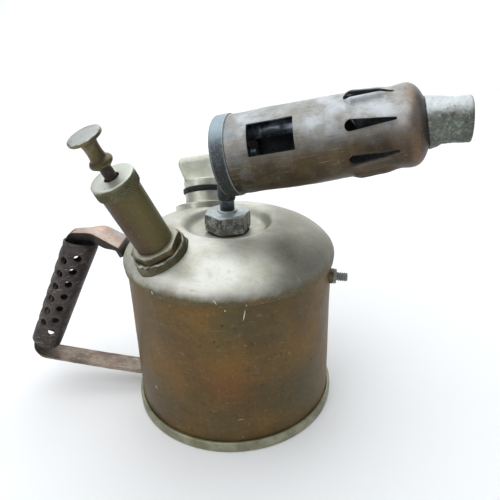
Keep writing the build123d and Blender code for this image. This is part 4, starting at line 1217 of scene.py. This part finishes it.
def strap_piece(name, part, material, **more):
    """Part of the band, along the strap's line; lip says how far its edges hang below its top face.
    Where it has lips, they and the underside carry the mask "inner", as does the leaf's turned-down end; it
    paints them in shade."""
    line, half_width, drop = strap_line[part], width[part], lip[part]
    run = np.gradient(line, axis=0)
    run /= np.linalg.norm(run, axis=1)[:, None]
    normal = np.stack([-run[:, 1], run[:, 0]], axis=1)
    verts, side = [], []
    for i in range(len(line)):
        w, h = half_width[i], max(drop[i], STRAP_T)
        section = [(-w + BEVEL, 0, 0)]
        section += [(-w + BEVEL + (2 * w - 2 * BEVEL) * k / 10, 0.1 * math.sin(math.pi * k / 10), 0)
                    for k in range(1, 10)]
        section += [(w - BEVEL, 0, 0), (w, -BEVEL, 1), (w, -h + BEVEL, 1), (w - BEVEL, -h, 1),
                    (w - LIP_T + BEVEL, -h, 1), (w - LIP_T, -h + BEVEL, 1), (w - LIP_T - 0.1, -STRAP_T, 1),
                    (-w + LIP_T + 0.1, -STRAP_T, 1), (-w + LIP_T, -h + BEVEL, 1),
                    (-w + LIP_T - BEVEL, -h, 1), (-w + BEVEL, -h, 1), (-w, -h + BEVEL, 1), (-w, -BEVEL, 1)]
        # the leaf's turned-down end carries the mask all over and is painted in shade
        turned_down = line[i][0] < LEAF_END and line[i][1] > 80
        for across, lift, mark in section:
            p = line[i] + normal[i] * (lift + STRAP_T / 2)
            verts.append(OUT * p[0] + UP * p[1] + ACROSS * across)
            side.append(1.0 if turned_down else mark * (h > STRAP_T + 0.2))
    n = len(section)
    faces = ring_faces(len(line), n, False)
    faces += [tuple(reversed(range(n))), tuple(range(len(verts) - n, len(verts)))]
    return make(name, verts, faces, material, crease=42, extra=side, **more)


radius = strap_line[:, 0]
upper = int(np.argmax(radius > LEAF[-1][0]))       # where the leaf ends and the leg begins
bend = int(np.argmax(radius))                       # the lower, outer bend
place = np.arange(len(radius))
leaf_half = np.interp(radius, [p[0] for p in LEAF], [p[1] for p in LEAF])
low_half = np.interp(radius, (90.0, 129.0, 136.0, 139.0), (STRAP_HALF, STRAP_HALF, 6.4, 5.0))
width = np.where(place < upper, leaf_half, np.where(place < bend, LEG_HALF, low_half))
width = np.convolve(np.pad(width, 3, "edge"), np.ones(7) / 7, "valid")
width = width + 0.1 * wobble(np.stack([place * 0.8, place * 0, place * 0], 1), 9, 51) * (width > 5)
lip = STRAP_T + 1.5 * ramp(width, 3.0, 3.9) * ramp(place, upper + 16, upper + 8)
lip = lip + 2.2 * ramp(place, upper + 14, upper + 6)
# towards the tank the leaf's lips shrink to LIP_LEAST
shrunk = LIP_LEAST + (lip - LIP_LEAST) * ramp(radius, LEAF_END, LEAF_END + 7)
lip = np.where(place < upper, shrunk, lip)
strap_piece("leaf_end", slice(0, upper + 1), leaf_steel, slot="strap_steel")
strap_piece("strap", slice(upper, None), strap_steel, replaces="handle_strap", slot="strap_steel")

# perforated grip
GRIP = Axes(*[OUT * there[0] + UP * there[1] for there in (G0, GRIP_SIDE, GRIP_DOWN)])
GRIP_R, GRIP_SHEET = (10.5, 9.4), 0.8       # radius at the upper and the lower end, thickness
GRIP_MEAN_R = 10.0
HOLE_R, HOLE_T, HOLE_PITCH = 2.4, 5.8, 10.15
HOLE_FIRST, HOLE_STEP = math.radians(-109.5), math.radians(45)
SEAM, SEAM_HALF = math.radians(160.5), 0.7
# the top end is cut askew: station at the axis, slope towards the outer side and away from the front
CUT = (-1.2, 0.28, 0.23)
TRIM = 1.5


def grip_radius(t):
    return GRIP_R[0] + (GRIP_R[1] - GRIP_R[0]) * t / GRIP_LONG


def hole_distance(t, v):
    best = np.full(np.shape(t), 99.0)
    for column in range(5):
        y = arc_gap(v, HOLE_FIRST + HOLE_STEP * column, GRIP_MEAN_R)
        for row in range(int(column == 4), 7 - column % 2):
            at = HOLE_T + HOLE_PITCH * (row + 0.5 * (column % 2))
            best = np.minimum(best, np.hypot(t - at, y) - HOLE_R)
    return best


def grip_gap(t, v):
    top = t - CUT[0] - grip_radius(t) * (CUT[1] * np.cos(v) + CUT[2] * np.sin(v))
    seam = np.abs(arc_gap(v, SEAM, GRIP_MEAN_R)) - SEAM_HALF
    return np.minimum(np.minimum(hole_distance(t, v), seam), top)


def grip_place(t, v, depth):
    # the punch has drawn the rims of the holes in a little
    away = np.maximum(hole_distance(t, v), 0)
    drawn = 0.35 * np.exp(-(away / 0.9) ** 2)
    points = GRIP.at(t, GRIP_MEAN_R, v)
    return GRIP.at(t, grip_radius(t) - depth - drawn + 0.12 * wobble(points, 22, 61), v)


# its inside carries the mask "inner" and is painted in shade
pierced("grip_tube", np.linspace(-5, GRIP_LONG - TRIM, 190), full_turn(150) + 0.01, grip_gap, grip_place,
        GRIP_SHEET, grip_steel, replaces="handle_grip", slot="grip_steel", crease=44)

# ================================================================ side stud
STUD_Z = 88.4
STUD = Axes((TANK_R, 0, STUD_Z), (0, 0, 1), (1, 0, 0))


def stud_pad():
    """Small square pad with soft corners, hollowed to the wall."""
    half, turns = 3.7, 96
    a = full_turn(turns)
    rows = path((-0.8, 2.1), (1.6, 2.1), (1.6, half, 0.4), (-0.8, half))
    r = np.where(rows[:, 1:2] > 3, rows[:, 1:2] * squared(a, half, half, 7)[None, :] / half, rows[:, 1:2])
    verts = STUD.at(rows[:, :1], r, a[None, :]).reshape(-1, 3)
    make("stud_pad", verts, ring_faces(len(rows), turns, True), hex_brass, replaces="stud_boss",
         slot="dome_brass")


stud_pad()
THREAD_PITCH, THREAD_R = 1.25, 2.4
stud_outline = np.vstack([
    [(0.3, 0.0)], path((0.3, 2.0), (1.65, 2.0), (1.65, 4.4, 0.35), (3.35, 4.4, 0.35), (3.5, THREAD_R)),
    spaced([(3.6, THREAD_R), (9.6, THREAD_R)], 0.06), [(9.85, 2.0), (9.95, 1.5), (9.95, 0.0)]])


def thread(s, r, a):
    phase = np.mod(s / THREAD_PITCH - a / (2 * math.pi), 1.0)
    crest = np.clip(1.25 - 2.9 * np.abs(phase - 0.5), 0, 1)
    cut_here = ramp(s, 3.7, 4.2) * ramp(s, 9.8, 9.2) * (r > 2.2) * (r < 3)
    return s, r + cut_here * (0.5 * crest - 0.24)


turned("stud", STUD, stud_outline, stud_steel, 72, thread, closed=False, replaces="side_stud",
       slot="stud_steel", crease=50)


# ================================================================ floor, lights, camera
WORLD, WORLD_COLOUR = 0.3, (0.84, 0.92, 1.0, 1)
FLOOR_PALE, FLOOR_GREYER = (0.94, 0.94, 0.94, 1), (0.925, 0.925, 0.925, 1)
BACK_Y, BACK_R, BACK_TOP = 2.0, 1.2, 2.6     # metres: where the floor starts to curve up, its curve, its top
LENS = 36.0
CAMERA_AT = (0.08332, -0.26587, 0.22780)
CAMERA_TURN = (65.240, 1.589, 14.066)
# name, place, point aimed at, size, power, colour
LIGHTS = [("overhead", (-0.6, 0.35, 1.9), (-0.45, 0.3, 0.0), (4.0, 3.6), 70, (0.97, 0.985, 1.0)),
          ("front", (-0.7, -1.6, 0.9), (0, 0, 0.1), (1.2, 0.8), 5, (1.0, 0.97, 0.93)),
          ("rear", (-0.5, 2.2, 1.5), (-0.8, 3.2, 0.9), (3.4, 1.0), 32, (1.0, 1.0, 1.0))]


def studio():
    p = Paint("floor_pale")
    p.colour = p.mix(p.step(p.noise(180, 3, 0.5), 0.3, 0.7), FLOOR_PALE, FLOOR_GREYER)
    pale = p.finish(0.8)
    # floor that curves up into a backdrop far behind the lamp
    line = [(-4.0, 0.0)] + [(y, 0.0) for y in np.linspace(-3.5, BACK_Y, 12)]
    line += [(BACK_Y + BACK_R * math.sin(a), BACK_R - BACK_R * math.cos(a))
             for a in np.linspace(0.1, math.pi / 2, 14)]
    line += [(BACK_Y + BACK_R, BACK_TOP)]
    bm = bmesh.new()
    rows = [[bm.verts.new((x, y, z)) for y, z in line] for x in np.linspace(-4.0, 4.0, 9)]
    for one, two in zip(rows, rows[1:]):
        for k in range(len(line) - 1):
            bm.faces.new((one[k], two[k], two[k + 1], one[k + 1])).smooth = True
    mesh = bpy.data.meshes.new("floor")
    bm.to_mesh(mesh)
    bm.free()
    floor = bpy.data.objects.new("floor", mesh)
    bpy.context.scene.collection.objects.link(floor)
    floor.data.materials.append(pale)

    world = bpy.data.worlds.new("studio")
    world.use_nodes = True
    bpy.context.scene.world = world
    sky = world.node_tree.nodes["Background"]
    sky.inputs["Color"].default_value = WORLD_COLOUR
    sky.inputs["Strength"].default_value = WORLD

    def softbox(name, place, aim, size, power, colour):
        light = bpy.data.lights.new(name, "AREA")
        light.shape = "RECTANGLE"
        light.size, light.size_y = size
        light.energy = power
        light.color = colour
        obj = bpy.data.objects.new(name, light)
        bpy.context.scene.collection.objects.link(obj)
        obj.location = place
        obj.rotation_euler = (Vector(aim) - Vector(place)).to_track_quat("-Z", "Y").to_euler()

    for light in LIGHTS:
        softbox(*light)


def photograph_camera():
    data = bpy.data.cameras.new("camera")
    data.sensor_width = 36.0
    data.lens = LENS
    camera = bpy.data.objects.new("camera", data)
    bpy.context.scene.collection.objects.link(camera)
    camera.location = CAMERA_AT
    camera.rotation_euler = [math.radians(v) for v in CAMERA_TURN]
    data.clip_start, data.clip_end = 0.01, 30.0
    bpy.context.scene.camera = camera


studio()
photograph_camera()
bpy.context.scene.view_settings.view_transform = "Standard"
